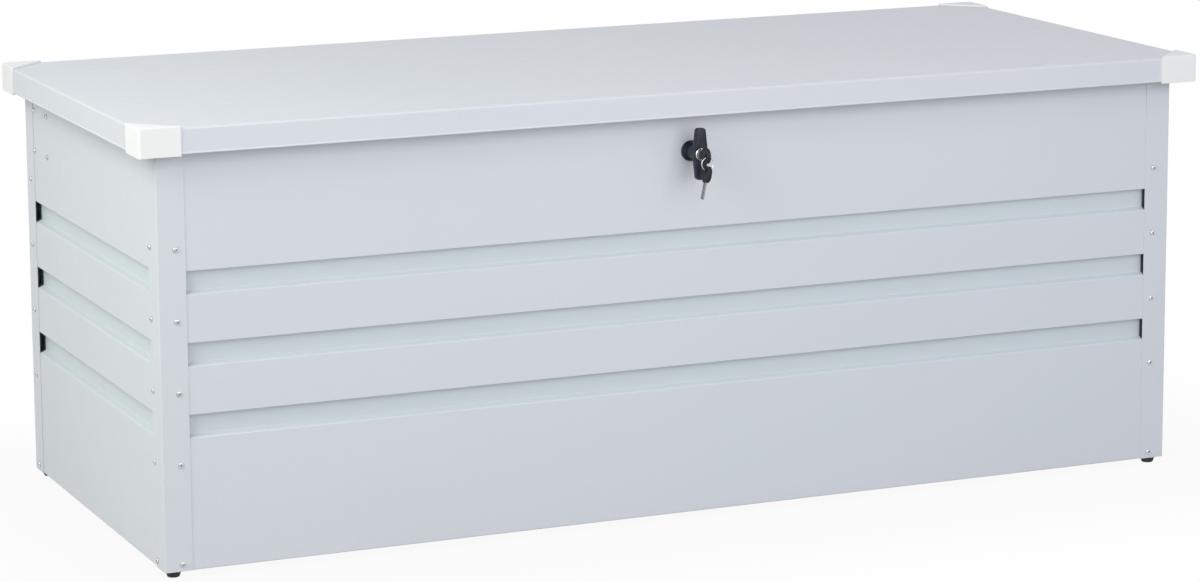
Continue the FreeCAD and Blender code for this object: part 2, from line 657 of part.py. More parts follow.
def cut_flange(body, start, end):
    """Cuts a stretch of a panel's top flange back to a stub, from one place to another along X."""
    sketch = sketch_on(body, "XY_Plane", "Sizes.rim_height")
    draw_rectangle(sketch, start, "Sizes.flange_stub", end, "Sizes.rim_flange + Sizes.panel_gauge")
    pocket(body, sketch, "Sizes.rim_return + Sizes.panel_gauge")


def drill_panel(body, places):
    """Cuts screw holes through a panel's sheet at places along it and above its lower edge."""
    drill(body, "XZ_Plane", places, SCREW_HOLE, "2 * Sizes.panel_gauge", sides=HEXAGON)


def front_panel():
    """The front panel with its screw holes, the lock's hole and the holes for the lid buffers."""
    body = folded_panel("front_panel", f"2 * {PANEL_END}")
    inset = "(Sizes.body_length / 2 - Sizes.screw_front_inset)"
    drill_panel(body, [(f"{side} * {inset}", row) for _, side in SIDES for row in screw_rows()])
    barrel_hole = "Sizes.barrel + Sizes.barrel_hole_gap"
    lock = ("0", "Sizes.rim_height - Sizes.lock_drop")
    drill(body, "XZ_Plane", [lock], barrel_hole, "2 * Sizes.panel_gauge")
    drill(
        body,
        "XY_Plane",
        [(f"{side} * {RIB_X}", "Sizes.rim_flange / 2") for _, side in SIDES],
        "Sizes.buffer_stem + Sizes.buffer_hole_gap",
        "2 * Sizes.panel_gauge",
        height="Sizes.rim_height",
    )
    put(body, "0", PANEL_FRONT, BASE)


def rear_panel():
    """The rear panel with its screw holes; its flange is cut away where the hinge arms pass."""
    body = folded_panel("rear_panel", f"2 * {PANEL_END}")
    for _, side in SIDES:
        inside = f"{side} * ({INNER_END} - {ARM_OUT} - Sizes.arm_flange - Sizes.arm_notch_gap)"
        cut_flange(body, inside, f"{side} * ({PANEL_END} + Sizes.panel_gauge)")
    inset = "(Sizes.body_length / 2 - Sizes.screw_front_inset)"
    drill_panel(body, [(f"{side} * {inset}", row) for _, side in SIDES for row in screw_rows()])
    put(body, "0", PANEL_REAR, BASE, UP, 180)


def side_panels():
    """The short panels between the long ones, with the flange cut away beside the hinge arms."""
    half = f"({PANEL_REAR} - {BODY_Y} - {CORNER_CLEAR})"
    rear = "Sizes.body_depth / 2"
    for name, side in SIDES:
        body = folded_panel(f"{name}_side_panel", f"2 * {half}")
        front_of_arm = f"{side} * ({HINGE_Y} - Sizes.arm_reach - Sizes.arm_notch_gap - {BODY_Y})"
        cut_flange(body, front_of_arm, f"{side} * ({half} + Sizes.panel_gauge)")
        places = [(f"{side} * ({SIDE_FRONT} - {rear})", row) for row in screw_rows()]
        places += [(f"{side} * ({rear} - {SIDE_REAR})", row) for row in screw_rows()]
        places += [(f"{side} * ({rear} - {back})", up) for back, up in plate_screws()]
        drill_panel(body, places)
        put(body, f"{side} * {PANEL_END}", BODY_Y, BASE, UP, 90 * side)


def corner_posts():
    """Four angle posts over the panels' ends, each with its corner at its own origin."""
    leg = "Sizes.post_leg"
    gauge = "Sizes.post_gauge"
    outline = [("0", "0"), (leg, "0"), (leg, gauge), (gauge, gauge), (gauge, leg), ("0", leg)]
    for corner in CORNERS:
        body = new_body(f"{corner.name}_post")
        sketch = sketch_on(body, "XY_Plane")
        draw_polygon(sketch, outline)
        pad(body, sketch, "Sizes.rim_height - Sizes.post_top_gap")
        fillet(body, "Sizes.post_bend", lambda edge: at(edge, 0, "0") and at(edge, 1, "0"))
        through = f"2 * {gauge}"
        rows = [(corner.inset_x, row) for row in screw_rows()]
        drill(body, "XZ_Plane", rows, SCREW_HOLE, through, sides=HEXAGON)
        rows = [(corner.inset_y, row) for row in screw_rows()]
        drill(body, "YZ_Plane", rows, SCREW_HOLE, through, along=True, sides=HEXAGON)
        put(body, corner.x, corner.y, BASE, UP, corner.turned)


def corner_brackets():
    """Folded brackets in the lower corners: a base on the panels' flanges and two upright tabs."""
    start = "(Sizes.post_gauge + Sizes.panel_gauge)"
    inside = f"({start} + Sizes.bracket_gauge)"
    end = f"({start} + Sizes.bracket_leg)"
    bent = [(start, start), (end, start), (end, inside), (inside, inside), (inside, end), (start, end)]
    screw_up = "Sizes.screw_low - Sizes.panel_gauge"
    for corner in CORNERS:
        body = new_body(f"{corner.name}_bracket")
        base = sketch_on(body, "XY_Plane")
        draw_rectangle(base, start, start, end, end)
        pad(body, base, "Sizes.bracket_gauge")
        tabs = sketch_on(body, "XY_Plane")
        draw_polygon(tabs, bent)
        pad(body, tabs, "Sizes.bracket_tab")
        fillet(
            body,
            "Sizes.bracket_bend",
            lambda edge: at(edge, 2, "0") and (at(edge, 0, start) or at(edge, 1, start)),
        )
        drill(body, "XZ_Plane", [(corner.inset_x, screw_up)], SCREW_HOLE, inside, sides=HEXAGON)
        drill(
            body, "YZ_Plane", [(corner.inset_y, screw_up)], SCREW_HOLE, inside, along=True,
            sides=HEXAGON,
        )
        bolt = "Sizes.foot_bolt + Sizes.foot_bolt_gap"
        place = ("Sizes.foot_inset", "Sizes.foot_inset")
        drill(body, "XY_Plane", [place], bolt, "2 * Sizes.bracket_gauge", along=True)
        put(body, corner.x, corner.y, FLOOR_BED, UP, corner.turned)


def foot_places():
    """Centres of the four feet at the height of the body's lower edge."""
    return [
        (
            f"{corner.side} * (Sizes.body_length / 2 - Sizes.foot_inset)",
            f"({BODY_Y} + {corner.end} * (Sizes.body_depth / 2 - Sizes.foot_inset))",
            BASE,
        )
        for corner in CORNERS
    ]


def rubber_feet():
    """Four tapered feet with a recess below for the head of the bolt."""
    hole = "(Sizes.foot_bolt + Sizes.foot_bolt_gap) / 2"
    profile = [
        (hole, "0"),
        ("Sizes.foot_top / 2", "0"),
        ("Sizes.foot_base / 2", "-Sizes.foot_height + Sizes.foot_chamfer"),
        ("Sizes.foot_base / 2 - Sizes.foot_chamfer", "-Sizes.foot_height"),
        ("Sizes.foot_socket / 2", "-Sizes.foot_height"),
        ("Sizes.foot_socket / 2", "-Sizes.foot_floor"),
        (hole, "-Sizes.foot_floor"),
    ]
    for corner, place in zip(CORNERS, foot_places()):
        body = new_body(f"{corner.name}_foot")
        turn(body, profile)
        put(body, *place)


def foot_fasteners():
    """The bolts up through the feet and the nuts that hold them on the brackets."""
    seat = "(Sizes.panel_gauge + Sizes.bracket_gauge)"
    low = "-(Sizes.foot_floor + Sizes.foot_bolt_head_rise)"
    high = f"{seat} + Sizes.foot_nut_height + Sizes.thread_end"
    core = "Sizes.foot_bolt / 2"
    bolt = new_body("foot_bolt_pattern", node=False)
    turn(
        bolt,
        [
            ("0", low),
            ("Sizes.foot_bolt_head / 2", low),
            ("Sizes.foot_bolt_head / 2", "-Sizes.foot_floor"),
            (core, "-Sizes.foot_floor"),
            (core, high),
            ("0", high),
        ],
    )
    nut = new_body("foot_nut_pattern", node=False)
    hexagon_nut(nut, "Sizes.foot_nut_flats", "Sizes.foot_nut_height", "Sizes.foot_bolt", seat)
    group("foot_bolts", [(bolt, point(*place), UP) for place in foot_places()])
    group("foot_nuts", [(nut, point(*place), UP) for place in foot_places()])


def hexagon_nut(body, flats, height, thread, seat):
    """Adds a hexagon nut on the body's Z axis, from its seat upwards, with a plain bore."""
    outline = sketch_on(body, "XY_Plane", seat)
    draw_regular(outline, "0", "0", f"{flats} / cos(30)", HEXAGON)
    pad(body, outline, height)
    bore = f"{thread} + Sizes.thread_gap"
    drill(body, "XY_Plane", [("0", "0")], bore, height, height=seat, along=True)


def panel_screws():
    """All screws of one kind: through the posts into the panels, and through those into the plates."""
    screw = new_body("panel_screw_pattern", node=False)
    head = sketch_on(screw, "XY_Plane")
    draw_regular(head, "0", "0", "Sizes.screw_head", OCTAGON)
    pad(screw, head, "Sizes.screw_head_rise")
    shank = sketch_on(screw, "XY_Plane")
    draw_regular(shank, "0", "0", "Sizes.screw_core", HEXAGON)
    pad(screw, shank, "Sizes.screw_reach", against=True)
    copies = []
    for corner in CORNERS:
        face_x = f"{corner.side} * (Sizes.body_length / 2 - {FACE_INSET})"
        side_y = f"{corner.y} - {corner.end} * {corner.side_inset}"
        for row in screw_rows():
            copies.append((screw, point(face_x, corner.y, f"{BASE} + {row}"), (0, corner.end, 0)))
            copies.append((screw, point(corner.x, side_y, f"{BASE} + {row}"), (corner.side, 0, 0)))
    for _, side in SIDES:
        for back, up in plate_screws():
            spot = point(f"{side} * {PANEL_END}", f"{BODY_REAR} - {back}", f"{BASE} + {up}")
            copies.append((screw, spot, (side, 0, 0)))
    group("panel_screws", copies)


def floor_channels():
    """Three channels, open downwards, that cross the chest on the long panels' lower flanges."""
    half = "Sizes.channel_width / 2"
    gauge = "Sizes.channel_gauge"
    top = "Sizes.channel_height"
    outline = [
        (f"-{half}", "0"),
        (f"-{half}", top),
        (half, top),
        (half, "0"),
        (f"{half} - {gauge}", "0"),
        (f"{half} - {gauge}", f"{top} - {gauge}"),
        (f"-{half} + {gauge}", f"{top} - {gauge}"),
        (f"-{half} + {gauge}", "0"),
    ]
    ends_clear = "(Sizes.panel_gauge + Sizes.floor_gap + Sizes.floor_gauge + Sizes.corner_gap)"
    for name, step in (("left", -1), ("middle", 0), ("right", 1)):
        body = new_body(f"{name}_floor_channel")
        sketch = sketch_on(body, "XZ_Plane")
        draw_polygon(sketch, outline)
        pad(body, sketch, f"{PANEL_REAR} - {PANEL_FRONT} - 2 * {ends_clear}", middle=True)
        put(body, f"{step} * Sizes.channel_offset", BODY_Y, FLOOR_BED)


def floor_sheets():
    """Two beaded floor sheets whose turned-down edges stand on the panels' flanges."""
    gauge = "Sizes.floor_gauge"
    half = f"({PANEL_REAR} - {BODY_Y} - Sizes.panel_gauge - Sizes.floor_gap)"
    top = f"(Sizes.channel_height + {gauge})"
    slack = f"{gauge} * (sqrt(2) - 1)"
    upper = [(f"-{half}", "0"), (f"-{half}", top)]
    lower = [(f"-{half} + {gauge}", "0"), (f"-{half} + {gauge}", f"{top} - {gauge}")]
    beads = int(number("Sizes.bead_count"))
    for step in range(beads):
        middle = f"({step - (beads - 1) / 2} * Sizes.bead_pitch)"
        wide = "Sizes.bead_width / 2"
        narrow = f"({wide} - Sizes.bead_height)"
        for way in (-1, 1):
            foot = (f"{middle} + {way} * ({wide})", top)
            crest = (f"{middle} + {way} * {narrow}", f"{top} + Sizes.bead_height")
            under_foot = (f"{middle} + {way} * ({wide} - {slack})", f"{top} - {gauge}")
            under_crest = (
                f"{middle} + {way} * ({narrow} - {slack})",
                f"{top} + Sizes.bead_height - {gauge}",
            )
            upper += [foot, crest][::-way]
            lower += [under_foot, under_crest][::-way]
    upper += [(half, top), (half, "0")]
    lower += [(f"{half} - {gauge}", f"{top} - {gauge}"), (f"{half} - {gauge}", "0")]
    outer_end = f"({INNER_END} - Sizes.floor_gap)"
    notch = "Sizes.bracket_leg"
    for name, side in SIDES:
        body = new_body(f"{name}_floor_sheet")
        sketch = sketch_on(body, "YZ_Plane", f"{side} * Sizes.floor_seam / 2")
        draw_polygon(sketch, upper + lower[::-1])
        pad(body, sketch, f"{outer_end} - Sizes.floor_seam / 2", against=side < 0)
        for way in (-1, 1):
            corner = sketch_on(body, "XY_Plane")
            draw_rectangle(
                corner,
                f"{side} * ({outer_end} - {notch})",
                f"{way} * ({half} - {notch})",
                f"{side} * ({outer_end} + {gauge})",
                f"{way} * ({half} + {gauge})",
            )
            pocket(body, corner, f"{top} + Sizes.bead_height", along=True)
        put(body, "0", BODY_Y, FLOOR_BED)


def lid_sheet():
    """The lid: a shallow tray of sheet, open below, with the sheet folded back inside its skirt."""
    gauge = "Sizes.lid_gauge"
    body = new_body("lid_sheet")
    block = sketch_on(body, "XY_Plane")
    draw_rounded_rectangle(block, LID_HALF_X, LID_HALF_Y, "Sizes.lid_corner_radius")
    pad(body, block, "Sizes.lid_skirt")
    cavity = sketch_on(body, "XY_Plane", "Sizes.lid_hem")
    draw_rounded_rectangle(
        cavity,
        f"({LID_HALF_X} - {gauge})",
        f"({LID_HALF_Y} - {gauge})",
        f"(Sizes.lid_corner_radius - {gauge})",
    )
    pocket(body, cavity, f"Sizes.lid_skirt - {gauge} - Sizes.lid_hem", along=True)
    mouth = sketch_on(body, "XY_Plane")
    draw_rounded_rectangle(
        mouth,
        f"({LID_HALF_X} - 2 * {gauge})",
        f"({LID_HALF_Y} - 2 * {gauge})",
        f"(Sizes.lid_corner_radius - 2 * {gauge})",
    )
    pocket(body, mouth, "Sizes.lid_hem", along=True)
    ceiling = f"Sizes.lid_skirt - {gauge}"
    fillet(body, f"Sizes.lid_edge_radius - {gauge}", lambda edge: at(edge, 2, ceiling))
    fillet(body, "Sizes.lid_edge_radius", lambda edge: at(edge, 2, "Sizes.lid_skirt"))
    put(body, "0", LID_Y, SKIRT_LOW)


def lid_caps():
    """Four plastic caps that grip the lid's corners above, outside and below the skirt."""
    leg = "Sizes.cap_leg"
    wall = "Sizes.cap_wall"
    lip = f"({wall} + Sizes.cap_lip)"
    low = "-Sizes.cap_drop"
    top = "Sizes.lid_skirt + Sizes.cap_top"
    outline = [("0", "0"), (leg, "0"), (leg, wall), (wall, leg), ("0", leg)]
    for corner in CORNERS:
        body = new_body(f"{corner.name}_cap")
        sketch = sketch_on(body, "XY_Plane", low)
        draw_polygon(sketch, outline)
        pad(body, sketch, f"Sizes.cap_drop + {top}")
        fillet(body, "Sizes.cap_corner", lambda edge: at(edge, 0, "0") and at(edge, 1, "0"))
        fillet(body, "Sizes.cap_rounding", lambda edge: at(edge, 2, top))
        skirt_space = sketch_on(body, "XY_Plane")
        draw_rectangle(skirt_space, wall, wall, f"2 * {leg}", f"2 * {leg}")
        pocket(body, skirt_space, "Sizes.lid_skirt", along=True)
        opening = sketch_on(body, "XY_Plane", low)
        draw_rectangle(opening, lip, lip, f"2 * {leg}", f"2 * {leg}")
        pocket(body, opening, "Sizes.cap_drop", along=True)
        put(
            body,
            f"{corner.side} * ({LID_HALF_X} + {wall})",
            f"{LID_Y} + {corner.end} * ({LID_HALF_Y} + {wall})",
            SKIRT_LOW,
            UP,
            corner.turned,
        )


def lid_ribs():
    """Three hat-section ribs under the lid, with rivet holes where arms or the catch hang."""
    half = "Sizes.rib_crown / 2"
    gauge = "Sizes.rib_gauge"
    deep = "-Sizes.rib_depth"
    brim = f"({half} + Sizes.rib_brim)"
    right = [
        (half, deep),
        (half, f"-{gauge}"),
        (brim, f"-{gauge}"),
        (brim, "0"),
        (f"{half} - {gauge}", "0"),
        (f"{half} - {gauge}", f"{deep} + {gauge}"),
    ]
    left = [(f"-({x})", z) for x, z in reversed(right)]
    for name, step in (("left", -1), ("middle", 0), ("right", 1)):
        body = new_body(f"{name}_lid_rib")
        sketch = sketch_on(body, "XZ_Plane")
        draw_polygon(sketch, right + left)
        pad(body, sketch, f"2 * ({LID_HALF_Y} - Sizes.lid_gauge - Sizes.rib_end_gap)", middle=True)
        if step:
            places = [("0", f"{HINGE_Y} + {back} - {LID_Y}") for back in arm_rivets()]
        else:
            places = [("0", f"{PANEL_FRONT} + {back} - {LID_Y}") for back in catch_rivets()]
        drill(
            body, "XY_Plane", places, RIVET_HOLE, f"2 * {gauge}", f"{deep} + 2 * {gauge}",
            sides=HEXAGON,
        )
        put(body, f"{step} * {RIB_X}", LID_Y, LID_UNDER)


def lid_buffers():
    """Two rubber buffers, pushed into the front panel's flange under the outer ribs."""
    stem = "Sizes.buffer_stem / 2"
    bulb = "Sizes.buffer_bulb / 2"
    wide = "Sizes.buffer_width / 2"
    flange = "-Sizes.panel_gauge"
    low = "-(Sizes.panel_gauge + Sizes.buffer_bulb_height)"
    high = f"{RIB_UNDER} - Sizes.buffer_gap - {RIM}"
    buffer = new_body("lid_buffer_pattern", node=False)
    turn(
        buffer,
        [
            ("0", low),
            (bulb, low),
            (bulb, flange),
            (stem, flange),
            (stem, "0"),
            (wide, "0"),
            (wide, high),
            ("0", high),
        ],
    )
    places = [
        point(f"{side} * {RIB_X}", f"{PANEL_FRONT} + Sizes.rim_flange / 2", RIM)
        for _, side in SIDES
    ]
    group("lid_buffers", [(buffer, place, UP) for place in places])


def hinge_plates():
    """Thick plates inside the rear of the side panels: they carry the pins and lower strut studs."""
    margin = "Sizes.plate_margin"
    rear = margin
    front_screw = "(Sizes.plate_screw_rear + Sizes.plate_screw_spread - Sizes.hinge_inset)"
    front = f"-({front_screw} + {margin})"
    screw_low = "(Sizes.hinge_drop - Sizes.plate_screw_low - Sizes.plate_screw_drop)"
    stud_y = f"({LOW_END_Y} - {HINGE_Y})"
    stud_z = f"({LOW_END_Z} - {HINGE_Z})"
    outline = [
        (rear, margin),
        (front, margin),
        (front, f"{screw_low} - {margin}"),
        (f"{stud_y} - {margin}", f"{stud_z} - {margin}"),
        (f"{stud_y} + {margin}", f"{stud_z} - {margin}"),
        (rear, f"{screw_low} - {margin}"),
    ]
    axis_up = "(Sizes.rim_height - Sizes.hinge_drop)"
    holes = [(f"Sizes.hinge_inset - {back}", f"{up} - {axis_up}") for back, up in plate_screws()]
    through = "2 * Sizes.plate_gauge"
    for name, side in SIDES:
        body = new_body(f"{name}_hinge_plate")
        sketch = sketch_on(body, "YZ_Plane")
        draw_polygon(sketch, outline)
        pad(body, sketch, "Sizes.plate_gauge", against=side > 0)
        inward = side < 0
        drill(body, "YZ_Plane", holes, SCREW_HOLE, through, along=inward, sides=HEXAGON)
        drill(body, "YZ_Plane", [("0", "0")], PIN_HOLE, through, along=inward)
        drill(body, "YZ_Plane", [(stud_y, stud_z)], STUD_HOLE, through, along=inward)
        put(body, f"{side} * {INNER_END}", HINGE_Y, HINGE_Z)


def hinge_arms():
    """Cranked arms under the outer ribs: each steps over the rear panel's edge as the lid opens."""
    neck = "Sizes.arm_neck"
    reach = "Sizes.arm_reach"
    bar_low = f"({ARM_TOP} - Sizes.arm_width)"
    outline = [
        (ARM_HALF, f"-{ARM_HALF}"),
        (ARM_HALF, ARM_HALF),
        (f"{ARM_HALF} - {neck}", ARM_HALF),
        (f"{ARM_HALF} - {neck}", ARM_TOP),
        (f"-{reach}", ARM_TOP),
        (f"-{reach}", bar_low),
        (f"-{ARM_HALF} - {neck}", bar_low),
        (f"-{ARM_HALF} - {neck}", f"-{ARM_HALF}"),
    ]
    stud_y = f"({HIGH_END_Y} - {HINGE_Y})"
    stud_z = f"({HIGH_END_Z} - {HINGE_Z})"
    through = "2 * Sizes.arm_gauge"

    def is_free_corner(edge):
        """True for the web's corners that aren't at the flange or the crank's inner corners."""
        return runs_along(edge, 0) and not at(edge, 2, ARM_TOP)

    for name, side in SIDES:
        body = new_body(f"{name}_hinge_arm")
        web = sketch_on(body, "YZ_Plane")
        draw_polygon(web, outline)
        pad(body, web, "Sizes.arm_gauge", against=side > 0)
        fillet(body, "Sizes.arm_rounding", is_free_corner)
        flange = sketch_on(body, "YZ_Plane")
        draw_rectangle(
            flange, f"-{reach}", f"{ARM_TOP} - Sizes.arm_gauge", f"{ARM_HALF} - {neck}", ARM_TOP
        )
        pad(body, flange, "Sizes.arm_flange", against=side > 0)
        inward = side < 0
        drill(body, "YZ_Plane", [("0", "0")], PIN_HOLE, through, along=inward)
        drill(body, "YZ_Plane", [(stud_y, stud_z)], STUD_HOLE, through, along=inward)
        rivet_x = f"{side} * ({RIB_X} - {INNER_END} + {ARM_OUT})"
        rivets = [(rivet_x, back) for back in arm_rivets()]
        drill(body, "XY_Plane", rivets, RIVET_HOLE, through, height=ARM_TOP, sides=HEXAGON)
        put(body, f"{side} * ({INNER_END} - {ARM_OUT})", HINGE_Y, HINGE_Z)


def stepped_pin(label, steps):
    """A turned pattern pin from (diameter, end) steps, each starting where the last one ends."""
    body = new_body(label, node=False)
    profile = [("0", steps[0][1])]
    for (diameter, end), (_, start) in zip(steps[1:], steps):
        profile += [(f"{diameter} / 2", start), (f"{diameter} / 2", end)]
    profile.append(("0", steps[-1][1]))
    turn(body, profile)
    return body


def hinge_pins():
    """The two pins that the lid turns on, and the spacers between the plates and the arms."""
    head = f"({ARM_INSIDE} + Sizes.end_gap)"
    pin = stepped_pin(
        "hinge_pin_pattern",
        [("0", "0"), ("Sizes.hinge_pin", head),
         ("Sizes.hinge_pin_head", f"{head} + Sizes.pin_head_rise")],
    )
    spacer = new_body("hinge_spacer_pattern", node=False)
    ring = sketch_on(spacer, "XY_Plane", "Sizes.plate_gauge")
    draw_circle(ring, "0", "0", "Sizes.hinge_spacer_size")
    draw_circle(ring, "0", "0", PIN_HOLE)
    pad(spacer, ring, "Sizes.hinge_spacer")
    places = [(point(f"{side} * {INNER_END}", HINGE_Y, HINGE_Z), (-side, 0, 0)) for _, side in SIDES]
    group("hinge_pins", [(pin, place, inward) for place, inward in places])
    group("hinge_spacers", [(spacer, place, inward) for place, inward in places])


def strut_studs():
    """The shouldered studs that the strut eyes turn on: lower ones on plates, upper on the arms."""
    eye_start = "(Sizes.strut_inset - Sizes.strut_eye_width / 2)"
    eye_end = "(Sizes.strut_inset + Sizes.strut_eye_width / 2)"
    stud = "Sizes.strut_stud"
    wide = "Sizes.strut_stud_head"
    rise = "Sizes.pin_head_rise"

    def stud_pattern(label, start, face):
        """A stud from where it starts through the sheet's inner face to its head."""
        return stepped_pin(
            label,
            [
                ("0", start),
                (stud, face),
                (wide, f"{eye_start} - Sizes.end_gap"),
                (stud, f"{eye_end} + Sizes.end_gap"),
                (wide, f"{eye_end} + Sizes.end_gap + {rise}"),
            ],
        )

    lower = stud_pattern("lower_strut_stud_pattern", "0", "Sizes.plate_gauge")
    upper = stud_pattern("upper_strut_stud_pattern", ARM_OUT, ARM_INSIDE)
    lows = []
    highs = []
    for _, side in SIDES:
        wall = f"{side} * {INNER_END}"
        lows.append((lower, point(wall, LOW_END_Y, LOW_END_Z), (-side, 0, 0)))
        highs.append((upper, point(wall, HIGH_END_Y, HIGH_END_Z), (-side, 0, 0)))
    group("lower_strut_studs", lows)
    group("upper_strut_studs", highs)


def strut_eye(body):
    """Adds the eye that turns on a stud, with its hole along X at the body's origin."""
    disc = sketch_on(body, "YZ_Plane")
    draw_circle(disc, "0", "0", "Sizes.strut_eye")
    pad(body, disc, "Sizes.strut_eye_width", middle=True)
    hole = sketch_on(body, "YZ_Plane")
    draw_circle(hole, "0", "0", STUD_HOLE)
    pocket(body, hole, "2 * Sizes.strut_eye_width", middle=True)


def strut_cylinders():
    """The struts' tubes, hung on the lid's arms, with a closed upper end and a guide at the mouth."""
    shank = "Sizes.strut_shank / 2"
    outer = "Sizes.strut_tube / 2"
    bore = f"({outer} - Sizes.strut_tube_wall)"
    mouth = "(Sizes.strut_rod / 2 + Sizes.strut_slide_gap)"
    inside = "-(Sizes.strut_neck + Sizes.strut_end_wall)"
    profile = [
        ("0", "-Sizes.strut_eye / 3"),
        (shank, "-Sizes.strut_eye / 3"),
        (shank, "-Sizes.strut_neck"),
        (outer, "-Sizes.strut_neck"),
        (outer, f"-{STRUT_TUBE_END}"),
        (mouth, f"-{STRUT_TUBE_END}"),
        (mouth, f"-{STRUT_TUBE_END} + Sizes.strut_guide"),
        (bore, f"-{STRUT_TUBE_END} + Sizes.strut_guide"),
        (bore, inside),
        ("0", inside),
    ]
    for name, side in SIDES:
        body = new_body(f"{name}_strut_cylinder")
        turn(body, profile)
        strut_eye(body)
        put(body, f"{side} * {STRUT_X}", HIGH_END_Y, HIGH_END_Z, ALONG_X, STRUT_LEAN)


def strut_rods():
    """The struts' rods with their pistons, standing on the lower studs."""
    shank = "Sizes.strut_shank / 2"
    rod = "Sizes.strut_rod / 2"
    piston = "(Sizes.strut_tube / 2 - Sizes.strut_tube_wall - Sizes.strut_slide_gap)"
    top = f"({STRUT_SHUT} - Sizes.strut_neck - Sizes.strut_end_wall - Sizes.strut_spare)"
    profile = [
        ("0", "Sizes.strut_eye / 3"),
        (shank, "Sizes.strut_eye / 3"),
        (shank, "Sizes.strut_neck"),
        (rod, "Sizes.strut_neck"),
        (rod, f"{top} - Sizes.strut_piston"),
        (piston, f"{top} - Sizes.strut_piston"),
        (piston, top),
        ("0", top),
    ]
    for name, side in SIDES:
        body = new_body(f"{name}_strut_rod")
        turn(body, profile)
        strut_eye(body)
        put(body, f"{side} * {STRUT_X}", LOW_END_Y, LOW_END_Z, ALONG_X, STRUT_LEAN)


def rivet(label, grip):
    """A rivet pattern with its set head at the origin and its other head beyond the sheets."""
    body = new_body(label, node=False)
    shank = sketch_on(body, "XY_Plane", f"-({grip})")
    draw_regular(shank, "0", "0", "Sizes.rivet_core", HEXAGON)
    pad(body, shank, grip)
    for height, below in (("0", False), (f"-({grip})", True)):
        head = sketch_on(body, "XY_Plane", height)
        draw_regular(head, "0", "0", "Sizes.rivet_head", OCTAGON)
        pad(body, head, "Sizes.rivet_head_rise", against=below)
    return body


def lid_rivets():
    """Rivets that hold the arms and the catch to the ribs, heads below, ends inside the ribs."""
    arm_rivet = rivet("arm_rivet_pattern", "Sizes.arm_gauge + Sizes.rib_gauge")
    catch_rivet = rivet("catch_rivet_pattern", "Sizes.catch_gauge + Sizes.rib_gauge")
    top = f"{RIB_UNDER} + Sizes.rib_gauge"
    copies = []
    for _, side in SIDES:
        for back in arm_rivets():
            copies.append((arm_rivet, point(f"{side} * {RIB_X}", f"{HINGE_Y} + {back}", top), UP))
    for back in catch_rivets():
        copies.append((catch_rivet, point("0", f"{PANEL_FRONT} + {back}", top), UP))
    group("lid_rivets", copies)


def put_on_lock(body):
    """Places a body whose Z axis is the lock's, pointing out of the front panel."""
    return put(body, "0", PANEL_FRONT, LOCK_Z, ALONG_X, 90)


def lock_housing():
    """The lock's rose and the barrel that passes through the front panel, bored for the spindle."""
    bore = "(Sizes.spindle / 2 + Sizes.running_gap)"
    body = new_body("lock_housing")
    turn(
        body,
        [
            (bore, "-Sizes.barrel_length"),
            ("Sizes.barrel / 2", "-Sizes.barrel_length"),
            ("Sizes.barrel / 2", "0"),
            ("Sizes.rose / 2", "0"),
            ("Sizes.rose / 2", "Sizes.rose_rim"),
            ("Sizes.rose_step / 2", "Sizes.rose_rim"),
            ("Sizes.rose_step / 2", "Sizes.rose_rise"),
            (bore, "Sizes.rose_rise"),
        ],
    )
    put_on_lock(body)
    nut = new_body("lock_nut")
    seat = "-(Sizes.panel_gauge + Sizes.lock_nut_height)"
    hexagon_nut(nut, "Sizes.lock_nut_flats", "Sizes.lock_nut_height", "Sizes.barrel", seat)
    put_on_lock(nut)


def t_handle():
    """The T-handle with its neck, spindle and square end, bored in front for the plug."""
    back = "(Sizes.handle_reach - Sizes.handle_thickness)"
    collar = "(Sizes.rose_rise + Sizes.end_gap)"
    body = new_body("t_handle")
    turn(
        body,
        [
            ("0", "-Sizes.barrel_length"),
            ("Sizes.spindle / 2", "-Sizes.barrel_length"),
            ("Sizes.spindle / 2", collar),
            ("Sizes.handle_neck / 2", collar),
            ("Sizes.handle_neck / 2", f"{back} + Sizes.handle_thickness / 2"),
            ("0", f"{back} + Sizes.handle_thickness / 2"),
        ],
    )
    bar = sketch_on(body, "XY_Plane", back)
    waist = "Sizes.handle_waist / 2"
    tip = "Sizes.handle_tip / 2"
    end = "Sizes.handle_length / 2"
    right = [(tip, f"-{end}"), (waist, f"-{waist}"), (waist, waist), (tip, end)]
    draw_polygon(bar, right + [(f"-({x})", z) for x, z in reversed(right)])
    pad(body, bar, "Sizes.handle_thickness")
    fillet(
        body,
        "Sizes.handle_rounding",
        lambda edge: at(edge, 2, "Sizes.handle_reach") or at(edge, 1, end) or at(edge, 1, f"-{end}"),
    )
    square = sketch_on(body, "XY_Plane", f"-{CAM_BACK}")
    half = "Sizes.cam_square / 2"
    draw_rectangle(square, f"-{half}", f"-{half}", half, half)
    pad(body, square, f"{CAM_BACK} - Sizes.barrel_length")
    reach = "Sizes.handle_reach"
    seat = "Sizes.plug_ring + Sizes.thread_gap"
    drill(body, "XY_Plane", [("0", "0")], seat, "Sizes.plug_ring_seat", height=reach)
    plug_bore = "Sizes.plug_width + 2 * Sizes.running_gap"
    deep = "Sizes.plug_length - Sizes.plug_rise + Sizes.end_gap"
    drill(body, "XY_Plane", [("0", "0")], plug_bore, deep, height=reach)
    screw_hole = "Sizes.cam_screw + Sizes.thread_gap"
    deep = "Sizes.cam_screw_reach + Sizes.end_gap"
    drill(body, "XY_Plane", [("0", "0")], screw_hole, deep, height=f"-{CAM_BACK}", along=True)
    put_on_lock(body)


